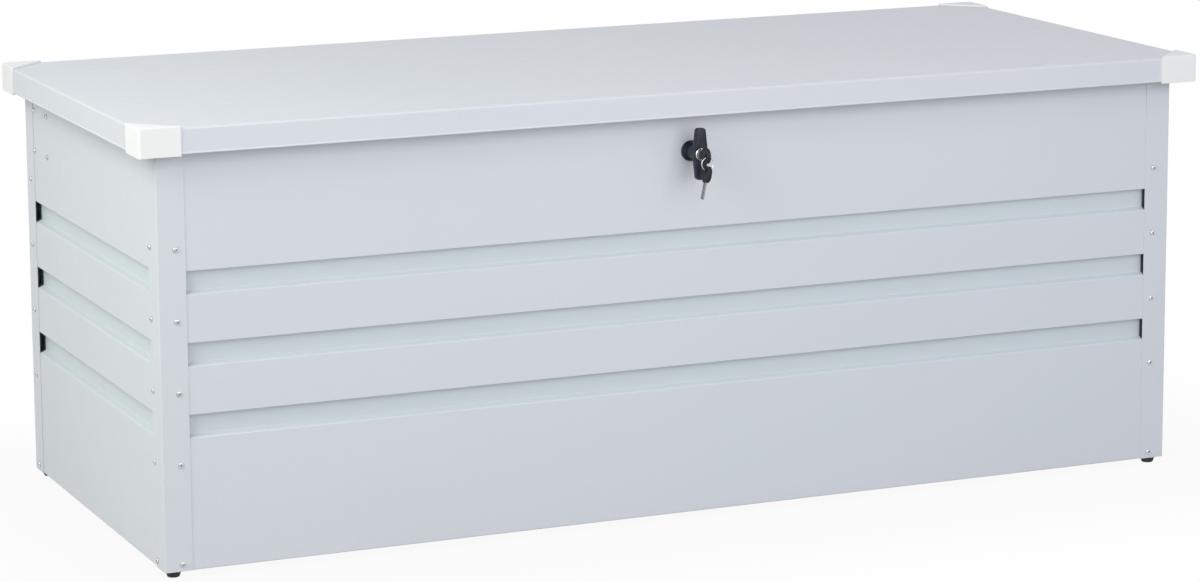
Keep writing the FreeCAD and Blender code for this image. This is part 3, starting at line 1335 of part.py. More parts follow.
def lock_cam():
    """The cam on the spindle's square end: it points up, off the catch, while the handle is upright."""
    body = new_body("lock_cam")
    hub = sketch_on(body, "XY_Plane", f"-{CAM_BACK}")
    draw_circle(hub, "0", "0", "Sizes.cam_width")
    pad(body, hub, "Sizes.cam_gauge")
    blade = sketch_on(body, "XY_Plane", f"-{CAM_BACK}")
    wide = "Sizes.cam_width / 2"
    tip = "Sizes.cam_tip / 2"
    reach = "Sizes.cam_reach"
    draw_polygon(blade, [(f"-{wide}", "0"), (wide, "0"), (tip, reach), (f"-{tip}", reach)])
    pad(body, blade, "Sizes.cam_gauge")
    square = sketch_on(body, "XY_Plane", f"-{CAM_BACK}")
    half = "(Sizes.cam_square + Sizes.cam_square_gap) / 2"
    draw_rectangle(square, f"-{half}", f"-{half}", half, half)
    pocket(body, square, "Sizes.cam_gauge", along=True)
    put_on_lock(body)
    screw = new_body("cam_screw")
    turn(
        screw,
        [
            ("0", f"-{CAM_BACK} - Sizes.cam_screw_rise"),
            ("Sizes.cam_screw_head / 2", f"-{CAM_BACK} - Sizes.cam_screw_rise"),
            ("Sizes.cam_screw_head / 2", f"-{CAM_BACK}"),
            ("Sizes.cam_screw / 2", f"-{CAM_BACK}"),
            ("Sizes.cam_screw / 2", f"-{CAM_BACK} + Sizes.cam_screw_reach"),
            ("0", f"-{CAM_BACK} + Sizes.cam_screw_reach"),
        ],
    )
    put_on_lock(screw)


def lock_plug():
    """The plug in the handle's face, slotted for the key, and the bright ring round it."""
    body = new_body("lock_plug")
    disc = sketch_on(body, "XY_Plane", HANDLE_FACE)
    draw_circle(disc, "0", "0", "Sizes.plug_width")
    pad(body, disc, "Sizes.plug_length", against=True)
    slot = sketch_on(body, "XY_Plane", HANDLE_FACE)
    half_x = "(Sizes.key_gauge / 2 + Sizes.key_slot_gap)"
    half_y = "(Sizes.key_blade / 2 + Sizes.key_slot_gap)"
    draw_rectangle(slot, f"-{half_x}", f"-{half_y}", half_x, half_y)
    pocket(body, slot, "Sizes.key_length - Sizes.key_bow_gap + Sizes.end_gap")
    put_on_lock(body)
    ring = new_body("plug_ring")
    band = sketch_on(ring, "XY_Plane", HANDLE_FACE)
    draw_circle(band, "0", "0", "Sizes.plug_ring")
    draw_circle(band, "0", "0", "Sizes.plug_width + 2 * Sizes.running_gap")
    pad(ring, band, "Sizes.plug_ring_seat + Sizes.plug_rise", against=True)
    put_on_lock(ring)


def key_blade(label):
    """A key's steel blade: it points along -Z, its flat sides face X, the bow's hole is at Z = 0."""
    body = new_body(label)
    inner_end = "(Sizes.key_bow_length - Sizes.key_eye_edge - Sizes.key_eye / 2)"
    half = "Sizes.key_blade / 2"
    tip = f"-({inner_end} + Sizes.key_length)"
    root = f"-({inner_end} - Sizes.key_tang)"
    notch = "Sizes.key_notch"
    cuts = []
    for step in range(round(number("Sizes.key_cut_count"))):
        start = f"{tip} + Sizes.key_cut_start + {step} * Sizes.key_cut_pitch"
        cuts += [
            (half, start),
            (f"{half} - {notch}", f"{start} + {notch} / 2"),
            (f"{half} - {notch}", f"{start} + {notch}"),
            (half, f"{start} + {notch} + {notch} / 2"),
        ]
    outline = [(f"-{half}", root), (f"-{half}", f"{tip} + {notch}"), (f"-{half} + {notch}", tip)]
    outline += [(f"{half} - {notch}", tip), (half, f"{tip} + {notch}")]
    sketch = sketch_on(body, "YZ_Plane")
    draw_polygon(sketch, outline + cuts + [(half, root)])
    pad(body, sketch, "Sizes.key_gauge", middle=True)
    return body


def key_bow(label):
    """A key's plastic bow, moulded round the blade's end, with its hole at the origin along X."""
    body = new_body(label)
    top = "(Sizes.key_eye_edge + Sizes.key_eye / 2)"
    half = "Sizes.key_bow_length / 2"
    sketch = sketch_on(body, "YZ_Plane")
    draw_rounded_rectangle(
        sketch, "Sizes.key_bow_width / 2", half, "Sizes.key_bow_corner", y=f"({top} - {half})"
    )
    pad(body, sketch, "Sizes.key_bow_gauge", middle=True)
    eye = sketch_on(body, "YZ_Plane")
    draw_circle(eye, "0", "0", "Sizes.key_eye")
    pocket(body, eye, "2 * Sizes.key_bow_gauge", middle=True)
    inner_end = f"({top} - Sizes.key_bow_length)"
    socket = sketch_on(body, "YZ_Plane")
    blade = "Sizes.key_blade / 2"
    draw_rectangle(socket, f"-{blade}", inner_end, blade, f"{inner_end} + Sizes.key_tang")
    pocket(body, socket, "Sizes.key_gauge", middle=True)
    return body


def keys():
    """The key in the lock, pointing to the rear, and the spare key that hangs from its ring."""
    for part in (key_blade("key"), key_bow("key_bow")):
        put(part, "0", KEY_Y, LOCK_Z, ALONG_X, 90)
    for part in (key_blade("spare_key"), key_bow("spare_key_bow")):
        put(part, "0", KEY_Y, SPARE_EYE_Z, ALONG_Y, "Sizes.spare_lean")


def key_ring():
    """The wire ring that hangs in the key's bow and carries the spare key."""
    body = new_body("key_ring")
    wire = sketch_on(body, "XZ_Plane")
    draw_regular(wire, RING_MEAN, "0", "Sizes.ring_wire", OCTAGON)
    feature = body.newObject("PartDesign::Revolution", "turned")
    feature.Profile = wire
    feature.ReferenceAxis = (wire, ["V_Axis"])
    feature.Angle = 360
    doc.recompute()
    put(body, "0", KEY_Y, RING_Z, ALONG_X, 90)


def lock_catch():
    """The hooked strap under the middle rib that the turned cam holds from above its lip."""
    gauge = "Sizes.catch_gauge"
    left = "(Sizes.catch_offset - Sizes.catch_width / 2)"
    front = "Sizes.rim_flange + Sizes.catch_rim_gap"
    low = f"-(Sizes.cam_width / 2 + Sizes.catch_clearance + {gauge})"
    top = f"({RIB_UNDER} - {LOCK_Z})"
    rear = f"({CATCH_BACK} + Sizes.catch_foot)"
    body = new_body("lock_catch")
    strap = sketch_on(body, "YZ_Plane", left)
    draw_polygon(
        strap,
        [
            (front, low),
            (f"{CATCH_BACK} + {gauge}", low),
            (f"{CATCH_BACK} + {gauge}", f"{top} - {gauge}"),
            (rear, f"{top} - {gauge}"),
            (rear, top),
            (CATCH_BACK, top),
            (CATCH_BACK, f"{low} + {gauge}"),
            (front, f"{low} + {gauge}"),
        ],
    )
    pad(body, strap, "Sizes.catch_width")
    foot = sketch_on(body, "XY_Plane", top)
    draw_rectangle(foot, "-Sizes.rib_crown / 2", CATCH_BACK, f"{left} + {gauge}", rear)
    pad(body, foot, gauge, against=True)
    rivets = [("0", back) for back in catch_rivets()]
    drill(body, "XY_Plane", rivets, RIVET_HOLE, f"2 * {gauge}", height=top, sides=HEXAGON)
    put(body, "0", PANEL_FRONT, LOCK_Z)


def write_nodes():
    """Checks every object and writes each node to its own file."""
    doc.recompute()
    for item in doc.Objects:
        if "Invalid" in item.State or "Error" in item.State:
            raise RuntimeError(f"{item.Label} is not valid: {item.State}")
    os.makedirs("parts", exist_ok=True)
    for node in NODES:
        if node.Shape.isNull() or not node.Shape.isValid():
            raise RuntimeError(f"the shape of {node.Label} is not valid")
        node.Shape.exportStep(f"parts/{node.Label}.step")


fill_sheet()
front_panel()
rear_panel()
side_panels()
corner_posts()
corner_brackets()
rubber_feet()
foot_fasteners()
panel_screws()
floor_channels()
floor_sheets()
lid_sheet()
lid_caps()
lid_ribs()
lid_buffers()
hinge_plates()
hinge_arms()
hinge_pins()
strut_studs()
strut_cylinders()
strut_rods()
lid_rivets()
lock_housing()
t_handle()
lock_cam()
lock_plug()
keys()
key_ring()
lock_catch()
write_nodes()
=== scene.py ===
"""The looks of the outdoor storage chest: its finishes, its pieces, the studio and the camera.

Units are metres. X runs along the chest, Y from its front to its rear and Z up, as in the frame.
"""

import json
import logging
import math
from collections.abc import Callable
from dataclasses import dataclass, field
from enum import Enum

import bpy
from mathutils import Matrix, Vector

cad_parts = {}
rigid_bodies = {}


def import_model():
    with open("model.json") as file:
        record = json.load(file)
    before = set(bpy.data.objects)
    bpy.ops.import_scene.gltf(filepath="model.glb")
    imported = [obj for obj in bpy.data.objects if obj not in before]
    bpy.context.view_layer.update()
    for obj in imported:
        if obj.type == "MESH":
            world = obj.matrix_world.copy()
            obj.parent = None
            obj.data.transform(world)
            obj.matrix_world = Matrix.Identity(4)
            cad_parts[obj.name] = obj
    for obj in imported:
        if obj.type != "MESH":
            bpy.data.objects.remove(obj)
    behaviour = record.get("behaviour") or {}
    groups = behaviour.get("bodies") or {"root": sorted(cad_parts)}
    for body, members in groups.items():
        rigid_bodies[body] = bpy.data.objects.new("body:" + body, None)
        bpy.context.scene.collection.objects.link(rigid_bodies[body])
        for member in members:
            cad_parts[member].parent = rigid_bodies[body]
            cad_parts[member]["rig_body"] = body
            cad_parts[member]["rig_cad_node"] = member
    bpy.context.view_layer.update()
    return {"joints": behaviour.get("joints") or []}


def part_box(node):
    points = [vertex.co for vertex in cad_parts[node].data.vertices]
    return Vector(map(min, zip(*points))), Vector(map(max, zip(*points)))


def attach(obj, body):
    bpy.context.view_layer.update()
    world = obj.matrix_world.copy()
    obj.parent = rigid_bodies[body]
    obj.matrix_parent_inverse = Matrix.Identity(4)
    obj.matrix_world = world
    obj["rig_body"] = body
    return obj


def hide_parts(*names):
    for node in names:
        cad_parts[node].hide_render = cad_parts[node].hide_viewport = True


logging.basicConfig(level=logging.INFO, format="%(name)s: %(message)s")
log = logging.getLogger("chest")

MM = 0.001
WELD = 0.002 * MM
SMOOTH = math.radians(35)
FLAT = math.radians(0.6)
UP = Vector((0, 0, 1))
ALONG = Vector((1, 0, 0))

# Most of a noise's values lie in this range.
NOISE = (0.3, 0.7)
# The cosine of a turn at which an edge starts to show, and at which it shows fully.
EDGE_TURN = (0.995, 0.8)
# The dome of a screw's head, as shares of its radius and of its rise.
HEAD_DOME = ((1, 0.35), (0.95, 0.6), (0.82, 0.8), (0.6, 0.93), (0.3, 1), (0, 1))
# How far a cutting helper stands out of what it cuts.
PAST = 5 * MM

Colour = tuple[float, float, float]
Profile = list[tuple[float, float]]
Box = tuple[Vector, Vector]
Piece = bpy.types.Object
Maker = Callable[[int, Vector, Vector], Piece]


class Side(Enum):
    """The two ends of the chest."""

    LEFT = "left"
    RIGHT = "right"


class Station(Enum):
    """The places along the chest that have a lid rib and a floor channel."""

    LEFT = "left"
    MIDDLE = "middle"
    RIGHT = "right"


class Corner(Enum):
    """The four corners of the chest."""

    FRONT_LEFT = "front_left"
    FRONT_RIGHT = "front_right"
    REAR_RIGHT = "rear_right"
    REAR_LEFT = "rear_left"


class Pick(Enum):
    """What can be picked in a mesh, in the order of Blender's select modes."""

    POINTS = "points"
    EDGES = "edges"
    FACES = "faces"


class Way(Enum):
    """How a helper changes a piece, under the names of Blender's operations."""

    CUT = "DIFFERENCE"
    JOIN = "UNION"
    KEEP = "INTERSECT"


class Wire:
    """The output of a shader node, for arithmetic that adds Math nodes."""

    def __init__(self, graph: "Graph", socket: bpy.types.NodeSocket) -> None:
        """Keeps the graph and the socket."""
        self.graph = graph
        self.socket = socket

    def __add__(self, other: "Wire | float") -> "Wire":
        """The sum."""
        return self.graph.maths("ADD", self, other)

    def __sub__(self, other: "Wire | float") -> "Wire":
        """The difference."""
        return self.graph.maths("SUBTRACT", self, other)

    def __rsub__(self, other: float) -> "Wire":
        """A number less this value."""
        return self.graph.maths("SUBTRACT", other, self)

    def __mul__(self, other: "Wire | float") -> "Wire":
        """The product."""
        return self.graph.maths("MULTIPLY", self, other)

    __radd__ = __add__
    __rmul__ = __mul__


class Graph:
    """The node tree of a material or of the world."""

    def __init__(self, owner: bpy.types.Material | bpy.types.World) -> None:
        """Starts the tree afresh.

        Args:
            owner: the new material or world.
        """
        owner.use_nodes = True
        self.owner = owner
        self.tree = owner.node_tree
        self.tree.nodes.clear()

    def node(
        self, kind: str, settings: dict | None = None, sockets: dict | None = None
    ) -> bpy.types.Node:
        """Adds a node.

        Args:
            kind: the node's type without its ShaderNode prefix.
            settings: the node's own properties, set first.
            sockets: a value or a Wire for each named or numbered input.

        Returns:
            The node.
        """
        made = self.tree.nodes.new(f"ShaderNode{kind}")
        for key, value in (settings or {}).items():
            setattr(made, key, value)
        for key, value in (sockets or {}).items():
            if isinstance(value, Wire):
                self.tree.links.new(value.socket, made.inputs[key])
            else:
                made.inputs[key].default_value = value
        return made

    def wire(self, node: bpy.types.Node, output: int | str = 0) -> Wire:
        """One output of a node, ready for arithmetic."""
        return Wire(self, node.outputs[output])

    def maths(self, operation: str, *values: "Wire | float") -> Wire:
        """A Math node on up to three values."""
        return self.wire(self.node("Math", {"operation": operation}, dict(enumerate(values))))

    def spot(self) -> Wire:
        """The place on the piece, in metres, in the chest's own frame."""
        return self.wire(self.node("TexCoord"), "Object")

    def normal(self) -> Wire:
        """The direction that the surface faces."""
        return self.wire(self.node("NewGeometry"), "Normal")

    def axes(self, vector: Wire) -> list[Wire]:
        """The X, Y and Z of a vector."""
        parts = self.node("SeparateXYZ", None, {0: vector})
        return [self.wire(parts, axis) for axis in "XYZ"]

    def stretched(self, spot: Wire, scale: tuple[float, float, float]) -> Wire:
        """The place with each axis scaled."""
        return self.wire(self.node("Mapping", None, {"Vector": spot, "Scale": scale}))

    def noise(self, spot: Wire, scale: float, detail: float = 2.0, roughness: float = 0.5) -> Wire:
        """Soft noise.

        Args:
            spot: the place.
            scale: spots per metre.
            detail: octaves.
            roughness: strength of the finer octaves.

        Returns:
            A value round a half.
        """
        sockets = {"Vector": spot, "Scale": scale, "Detail": detail, "Roughness": roughness}
        return self.wire(self.node("TexNoise", None, sockets))

    def span(self, value: Wire, low: float, high: float, first: float, last: float) -> Wire:
        """Maps a range onto another with clamped ends."""
        ends = {"From Min": low, "From Max": high, "To Min": first, "To Max": last}
        return self.wire(self.node("MapRange", None, {"Value": value, **ends}))

    def blend(self, factor: Wire, first: "Wire | Colour", last: "Wire | Colour") -> Wire:
        """Mixes two colours.

        Args:
            factor: 0 for the first colour, 1 for the last.
            first: the first colour.
            last: the last colour.

        Returns:
            The mixed colour.
        """
        ends = [end if isinstance(end, Wire) else (*end, 1) for end in (first, last)]
        sockets = {0: factor, 6: ends[0], 7: ends[1]}
        return self.wire(self.node("Mix", {"data_type": "RGBA"}, sockets), 2)

    def edges(self, radius: float) -> Wire:
        """A mask of the piece's edges and corners.

        Args:
            radius: how far an edge reaches, in metres.

        Returns:
            0 on flat faces, up to about 1 on edges.
        """
        rounded = self.wire(self.node("Bevel", {"samples": 4}, {"Radius": radius}), "Normal")
        directions = {0: rounded, 1: self.normal()}
        facing = self.node("VectorMath", {"operation": "DOT_PRODUCT"}, directions)
        return self.span(self.wire(facing, "Value"), *EDGE_TURN, 0.0, 1.0)

    def bump(self, height: Wire, strength: float, depth: float) -> Wire:
        """The normal that a height gives."""
        sockets = {"Height": height, "Strength": strength, "Distance": depth}
        return self.wire(self.node("Bump", None, sockets))

    def output(self, kind: str, shader: bpy.types.Node) -> None:
        """Closes the tree with its OutputMaterial or OutputWorld node."""
        self.node(kind, None, {"Surface": self.wire(shader)})

    def surface(self, **sockets: "Wire | float") -> bpy.types.Material:
        """Closes the material with one Principled shader.

        Args:
            sockets: its inputs, with low lines in place of spaces.

        Returns:
            The material.
        """
        named = {key.replace("_", " "): value for key, value in sockets.items()}
        self.output("OutputMaterial", self.node("BsdfPrincipled", None, named))
        return self.owner


def new_material(name: str) -> Graph:
    """The empty node tree of a new material."""
    return Graph(bpy.data.materials.new(name))


@dataclass(frozen=True)
class Grooves:
    """The band of the walls that has the pressed grooves, and the shade painted into them."""

    half_x: float
    half_y: float
    middle_y: float
    rim: tuple[float, float] = (450 * MM, 455 * MM)
    lip: tuple[float, float] = (1.0 * MM, 2.6 * MM)
    post: tuple[float, float] = (37.5 * MM, 38.8 * MM)
    # The share of painted shade, which grows as a face turns upwards.
    level: tuple[float, float] = (0.4, 0.8)
    outward: tuple[float, float] = (0.02, 0.1)
    share: tuple[float, float] = (0.5, 0.62)
    # Painted shade in the grooves, and painted shadow where they run on behind the posts' legs.
    painted_shade: Colour = (0.568, 0.636, 0.668)
    painted_shadow: Colour = (0.08, 0.10, 0.11)

    @classmethod
    def measured(cls) -> "Grooves":
        """Takes the outer faces of the walls from the panels' boxes.

        Returns:
            The grooves of this chest.
        """
        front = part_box("front_panel")[0].y
        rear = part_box("rear_panel")[1].y
        return cls(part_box("right_side_panel")[1].x, (rear - front) / 2, (rear + front) / 2)

    def with_painted_shade(self, graph: Graph, spot: Wire, tone: Wire) -> Wire:
        """Paints shade into the grooves, and a dark shadow where they run on behind the posts.

        Args:
            graph: the material's nodes.
            spot: the place on the piece.
            tone: the coat's colour outside the grooves.

        Returns:
            The colour with the painted shade and the painted shadow.
        """
        across, along, height = graph.axes(spot)
        facing_x, facing_y, facing_z = graph.axes(graph.normal())
        along = along - self.middle_y
        from_end = self.half_x - graph.maths("ABSOLUTE", across)
        from_front = self.half_y - graph.maths("ABSOLUTE", along)
        depth = graph.maths("MINIMUM", from_end, from_front)
        inside = graph.span(depth, *self.lip, 0, 1) * graph.span(height, *self.rim, 1, 0)
        # Faces that turn upwards get more of the painted shade.
        shade_share = graph.span(facing_z, *self.level, *self.share)
        corner = graph.span(graph.maths("MAXIMUM", from_end, from_front), *self.post, 1, 0)
        facing_out = across * facing_x + along * facing_y
        # Painted shadow on the groove floors behind the posts' legs.
        post_shadow = corner * graph.span(facing_out, *self.outward, 0, 1)
        shaded_tone = graph.blend(inside * shade_share, tone, self.painted_shade)
        return graph.blend(post_shadow * inside, shaded_tone, self.painted_shadow)


@dataclass(frozen=True)
class PowderCoat:
    """Satin powder coat on sheet steel: orange peel, a slow drift of tone, edges paler from thin
    coat and from a painted highlight, and painted shade in any grooves.
    """

    name: str
    colour: Colour
    cool: Colour
    grooves: Grooves | None = None
    # Pale colour for the dust and for the edges, whose paleness is partly wear and partly a painted
    # highlight.
    worn: Colour = (0.84, 0.86, 0.89)
    rough: float = 0.42
    gloss: float = 0.4
    peel: float = 900.0
    drift: float = 2.2
    dust: tuple[float, ...] = (0.6, 0.85, 0, 0.35)
    edge_reach: float = 0.8 * MM
    edge_share: float = 0.6
    relief: tuple[float, float] = (0.25, 0.3 * MM)

    def material(self) -> bpy.types.Material:
        """Makes the material.

        Returns:
            The coat with its drift, dust, painted shade in any grooves, edges paler from wear and
            from a painted highlight, and peel.
        """
        graph = new_material(self.name)
        spot = graph.spot()
        slow = graph.noise(spot, self.drift, 2)
        tone = graph.blend(graph.span(slow, *NOISE, 0, 1), self.colour, self.cool)
        dust = graph.span(graph.noise(spot, 260, 3, 0.65), *self.dust)
        tone = graph.blend(dust, tone, self.worn)
        # Painted shade in the grooves and painted shadow behind the posts.
        if self.grooves:
            tone = self.grooves.with_painted_shade(graph, spot, tone)
        # Paler edges: partly worn coat, partly a painted highlight along them.
        tone = graph.blend(graph.edges(self.edge_reach) * self.edge_share, tone, self.worn)
        height = graph.noise(spot, self.peel, 1) * 0.3 + graph.noise(spot, 9, 1)
        cloud = graph.noise(spot, 60, 3)
        return graph.surface(
            Base_Color=tone,
            Roughness=graph.span(cloud, *NOISE, self.rough - 0.04, self.rough + 0.06),
            Normal=graph.bump(height, *self.relief),
            Specular_IOR_Level=self.gloss,
        )


@dataclass(frozen=True)
class GalvanisedSheet:
    """Hot-dip zinc on bare sheet: pale angular spangle with dull and bright crystals."""

    name: str
    dull: Colour = (0.42, 0.44, 0.46)
    bright: Colour = (0.66, 0.68, 0.70)
    crystal: float = 95.0
    metallic: float = 0.85
    roughness: tuple[float, float] = (0.34, 0.55)
    relief: tuple[float, float] = (0.2, 0.2 * MM)

    def material(self) -> bpy.types.Material:
        """Makes the material.

        Returns:
            The zinc with its crystals and the streaks of the rolled sheet.
        """
        graph = new_material(self.name)
        spot = graph.spot()
        pattern = {"Vector": spot, "Scale": self.crystal, "Randomness": 1.0}
        cells = graph.wire(graph.node("TexVoronoi", None, pattern), "Color")
        shade = graph.wire(graph.node("SeparateColor", None, {0: cells}))
        streaks = graph.noise(graph.stretched(spot, (1.0, 6.0, 6.0)), 30, 3)
        height = shade * 0.4 + streaks * 0.6
        return graph.surface(
            Base_Color=graph.blend(shade * 0.7 + streaks * 0.3, self.dull, self.bright),
            Roughness=graph.span(shade, 0, 1, *self.roughness),
            Metallic=self.metallic,
            Normal=graph.bump(height, *self.relief),
        )


@dataclass(frozen=True)
class BrightZinc:
    """Zinc-plated steel fittings: a faint haze, fine scratches, and worn edges, which on the screws
    are instead dark with painted shade in their cross recesses and along their rims.
    """

    name: str
    colour: Colour = (0.60, 0.61, 0.62)
    haze: Colour = (0.44, 0.45, 0.47)
    rough: float = 0.3
    # The edges blend to this colour: pale wear on the fittings, dark painted shade on the screws.
    edge: Colour = (0.78, 0.78, 0.78)
    edge_reach: float = 0.4 * MM
    edge_share: float = 0.3
    metallic: float = 0.9
    relief: tuple[float, float] = (0.12, 0.05 * MM)

    def material(self) -> bpy.types.Material:
        """Makes the material.

        Returns:
            The plating with its haze, scratches and edges.
        """
        graph = new_material(self.name)
        spot = graph.spot()
        cloud = graph.span(graph.noise(spot, 140, 4, 0.6), 0.35, 0.7, 0, 1)
        scratch = graph.noise(graph.stretched(spot, (1.0, 1.0, 14.0)), 700, 2, 0.7)
        tone = graph.blend(cloud, self.colour, self.haze)
        # Edges: worn and pale on the fittings, painted shade on the screws.
        tone = graph.blend(graph.edges(self.edge_reach) * self.edge_share, tone, self.edge)
        wear = cloud * 0.7 + scratch * 0.3
        return graph.surface(
            Base_Color=tone,
            Roughness=graph.span(wear, 0, 1, self.rough - 0.06, self.rough + 0.16),
            Metallic=self.metallic,
            Normal=graph.bump(scratch, *self.relief),
        )


@dataclass(frozen=True)
class MouldedPlastic:
    """Injection-moulded plastic with a fine grain, polished by touch along its edges."""

    name: str
    colour: Colour
    worn: Colour
    rough: float = 0.45
    gloss: float = 0.4
    grain: float = 1500.0
    edge_reach: float = 0.5 * MM
    edge_share: float = 0.3
    relief: tuple[float, float] = (0.18, 0.08 * MM)

    def material(self) -> bpy.types.Material:
        """Makes the material.

        Returns:
            The plastic with its grain and polished edges.
        """
        graph = new_material(self.name)
        spot = graph.spot()
        grain = graph.noise(spot, self.grain, 2, 0.6)
        slow = graph.span(graph.noise(spot, 24, 2), *NOISE, 0, 0.4)
        edge = graph.edges(self.edge_reach)
        tone = graph.blend(slow, self.colour, self.worn)
        return graph.surface(
            Base_Color=graph.blend(edge * self.edge_share, tone, self.worn),
            Roughness=graph.span(grain, *NOISE, self.rough, self.rough + 0.08) - edge * 0.08,
            Normal=graph.bump(grain, *self.relief),
            Specular_IOR_Level=self.gloss,
        )


@dataclass(frozen=True)
class BlackRubber:
    """Moulded rubber: matt, slightly dusty, with a pebbled skin."""

    name: str
    colour: Colour = (0.022, 0.022, 0.024)
    dust: Colour = (0.075, 0.073, 0.07)
    roughness: tuple[float, float] = (0.62, 0.85)
    relief: tuple[float, float] = (0.35, 0.12 * MM)

    def material(self) -> bpy.types.Material:
        """Makes the material.

        Returns:
            The rubber with its dust and pebbles.
        """
        graph = new_material(self.name)
        spot = graph.spot()
        pebble = graph.noise(spot, 1100, 3, 0.6)
        cloud = graph.span(graph.noise(spot, 120, 4, 0.6), 0.45, 0.75, 0, 0.7)
        return graph.surface(
            Base_Color=graph.blend(cloud, self.colour, self.dust),
            Roughness=graph.span(pebble, 0.2, 0.8, *self.roughness),
            Normal=graph.bump(pebble, *self.relief),
        )


@dataclass(frozen=True)
class BlackEnamel:
    """Hard black lacquer on cast zinc or tube, a little thinner and greyer on its edges."""

    name: str
    colour: Colour = (0.005, 0.010, 0.023)
    edge: Colour = (0.028, 0.037, 0.060)
    rough: float = 0.30
    gloss: float = 0.3
    edge_reach: float = 0.6 * MM
    edge_share: float = 0.4
    relief: tuple[float, float] = (0.16, 0.1 * MM)

    def material(self) -> bpy.types.Material:
        """Makes the material.

        Returns:
            The lacquer with its peel and thin edges.
        """
        graph = new_material(self.name)
        spot = graph.spot()
        peel = graph.noise(spot, 800, 2, 0.55)
        cloud = graph.noise(spot, 60, 3)
        tone = graph.blend(graph.span(cloud, 0.35, 0.7, 0, 0.35), self.colour, self.edge)
        thin = graph.edges(self.edge_reach) * self.edge_share
        return graph.surface(
            Base_Color=graph.blend(thin, tone, self.edge),
            Roughness=graph.span(cloud, *NOISE, self.rough - 0.05, self.rough + 0.08),
            Normal=graph.bump(peel, *self.relief),
            Specular_IOR_Level=self.gloss,
        )


@dataclass(frozen=True)
class TurnedMetal:
    """Polished plating with fine turning lines across the axis of the piece."""

    name: str
    colour: Colour
    rough: float
    lines: tuple[float, float, float]
    dulling: float = 0.72
    relief: tuple[float, float] = (0.08, 0.04 * MM)

    def material(self) -> bpy.types.Material:
        """Makes the material.

        Returns:
            The metal with its lines and dull clouds.
        """
        graph = new_material(self.name)
        spot = graph.spot()
        lines = graph.noise(graph.stretched(spot, self.lines), 300, 2, 0.5)
        cloud = graph.span(graph.noise(spot, 90, 3), 0.4, 0.75, 0, 0.5)
        dull = tuple(self.dulling * part for part in self.colour)
        return graph.surface(
            Base_Color=graph.blend(cloud, self.colour, dull),
            Roughness=graph.span(lines, *NOISE, self.rough, self.rough + 0.1),
            Metallic=1.0,
            Normal=graph.bump(lines, *self.relief),
        )


class Finish(Enum):
    """The finishes, each under the name of its material."""

    BODY_PAINT = "body_paint"
    LID_PAINT = "lid_paint"
    ZINC_SHEET = "zinc_sheet"
    ZINC_STEEL = "zinc_steel"
    SCREW_STEEL = "screw_steel"
    WHITE_PLASTIC = "white_plastic"
    BLACK_RUBBER = "black_rubber"
    BLACK_PLASTIC = "black_plastic"
    BLACK_ENAMEL = "black_enamel"
    POLISHED_ROD = "polished_rod"
    BRIGHT_RING = "bright_ring"
    PLUG_METAL = "plug_metal"
    KEY_STEEL = "key_steel"

    @property
    def slot(self) -> str:
        """The record's slot that the finish fills: the screws share the fittings' one."""
        return "zinc_steel" if self is Finish.SCREW_STEEL else self.value


class Paintbox:
    """Makes each finish's material once and hands it out."""

    def __init__(self) -> None:
        """Mixes the finishes."""
        across_z, across_y, along_z = (1.0, 1.0, 9.0), (1.0, 9.0, 1.0), (9.0, 9.0, 1.0)
        recipes = (
            # The body's coat has painted shade in its grooves and painted shadow behind the posts.
            PowderCoat(
                "body_paint", (0.672, 0.695, 0.748), (0.655, 0.686, 0.735), Grooves.measured()
            ),
            PowderCoat("lid_paint", (0.680, 0.698, 0.756), (0.664, 0.688, 0.744)),
            GalvanisedSheet("zinc_sheet"),
            BrightZinc("zinc_steel"),
            # The screws' dark edges are painted shade in their cross recesses and along their rims.
            BrightZinc(
                "screw_steel", (0.66, 0.67, 0.68), edge=(0.045, 0.045, 0.05),
                edge_reach=0.5 * MM, edge_share=0.85,
            ),
            MouldedPlastic("white_plastic", (0.87, 0.87, 0.875), (0.83, 0.83, 0.835), 0.5, 0.3),
            BlackRubber("black_rubber"),
            MouldedPlastic(
                "black_plastic", (0.006, 0.007, 0.012), (0.022, 0.024, 0.033), 0.36, 0.25
            ),
            BlackEnamel("black_enamel"),
            TurnedMetal("polished_rod", (0.72, 0.73, 0.75), 0.12, across_z),
            TurnedMetal("bright_ring", (0.78, 0.79, 0.81), 0.14, across_y),
            TurnedMetal("plug_metal", (0.40, 0.41, 0.43), 0.32, across_y),
            TurnedMetal("key_steel", (0.30, 0.30, 0.31), 0.24, along_z),
        )
        self.materials = {Finish(recipe.name): recipe.material() for recipe in recipes}

    def dress(self, piece: Piece, finish: Finish, body: str, *nodes: str) -> None:
        """Gives a finished piece its material and its place in the frame.

        Args:
            piece: the piece, with its place in its mesh.
            finish: its finish.
            body: the body it rides on.
            nodes: the nodes it stands for.
        """
        piece.data.materials.clear()
        piece.data.materials.append(self.materials[finish])
        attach(piece, body)
        finish.slot
        if nodes:
            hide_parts(*nodes)
        log.info("%s on %s, %d faces", piece.name, body, len(piece.data.polygons))

    def dress_node(
        self, node: str, finish: Finish, body: str, easing: float, segments: int = 2
    ) -> None:
        """Dresses an eased copy of a node, which then stands for it."""
        self.dress(Bench.from_node(node, easing, segments), finish, body, node)


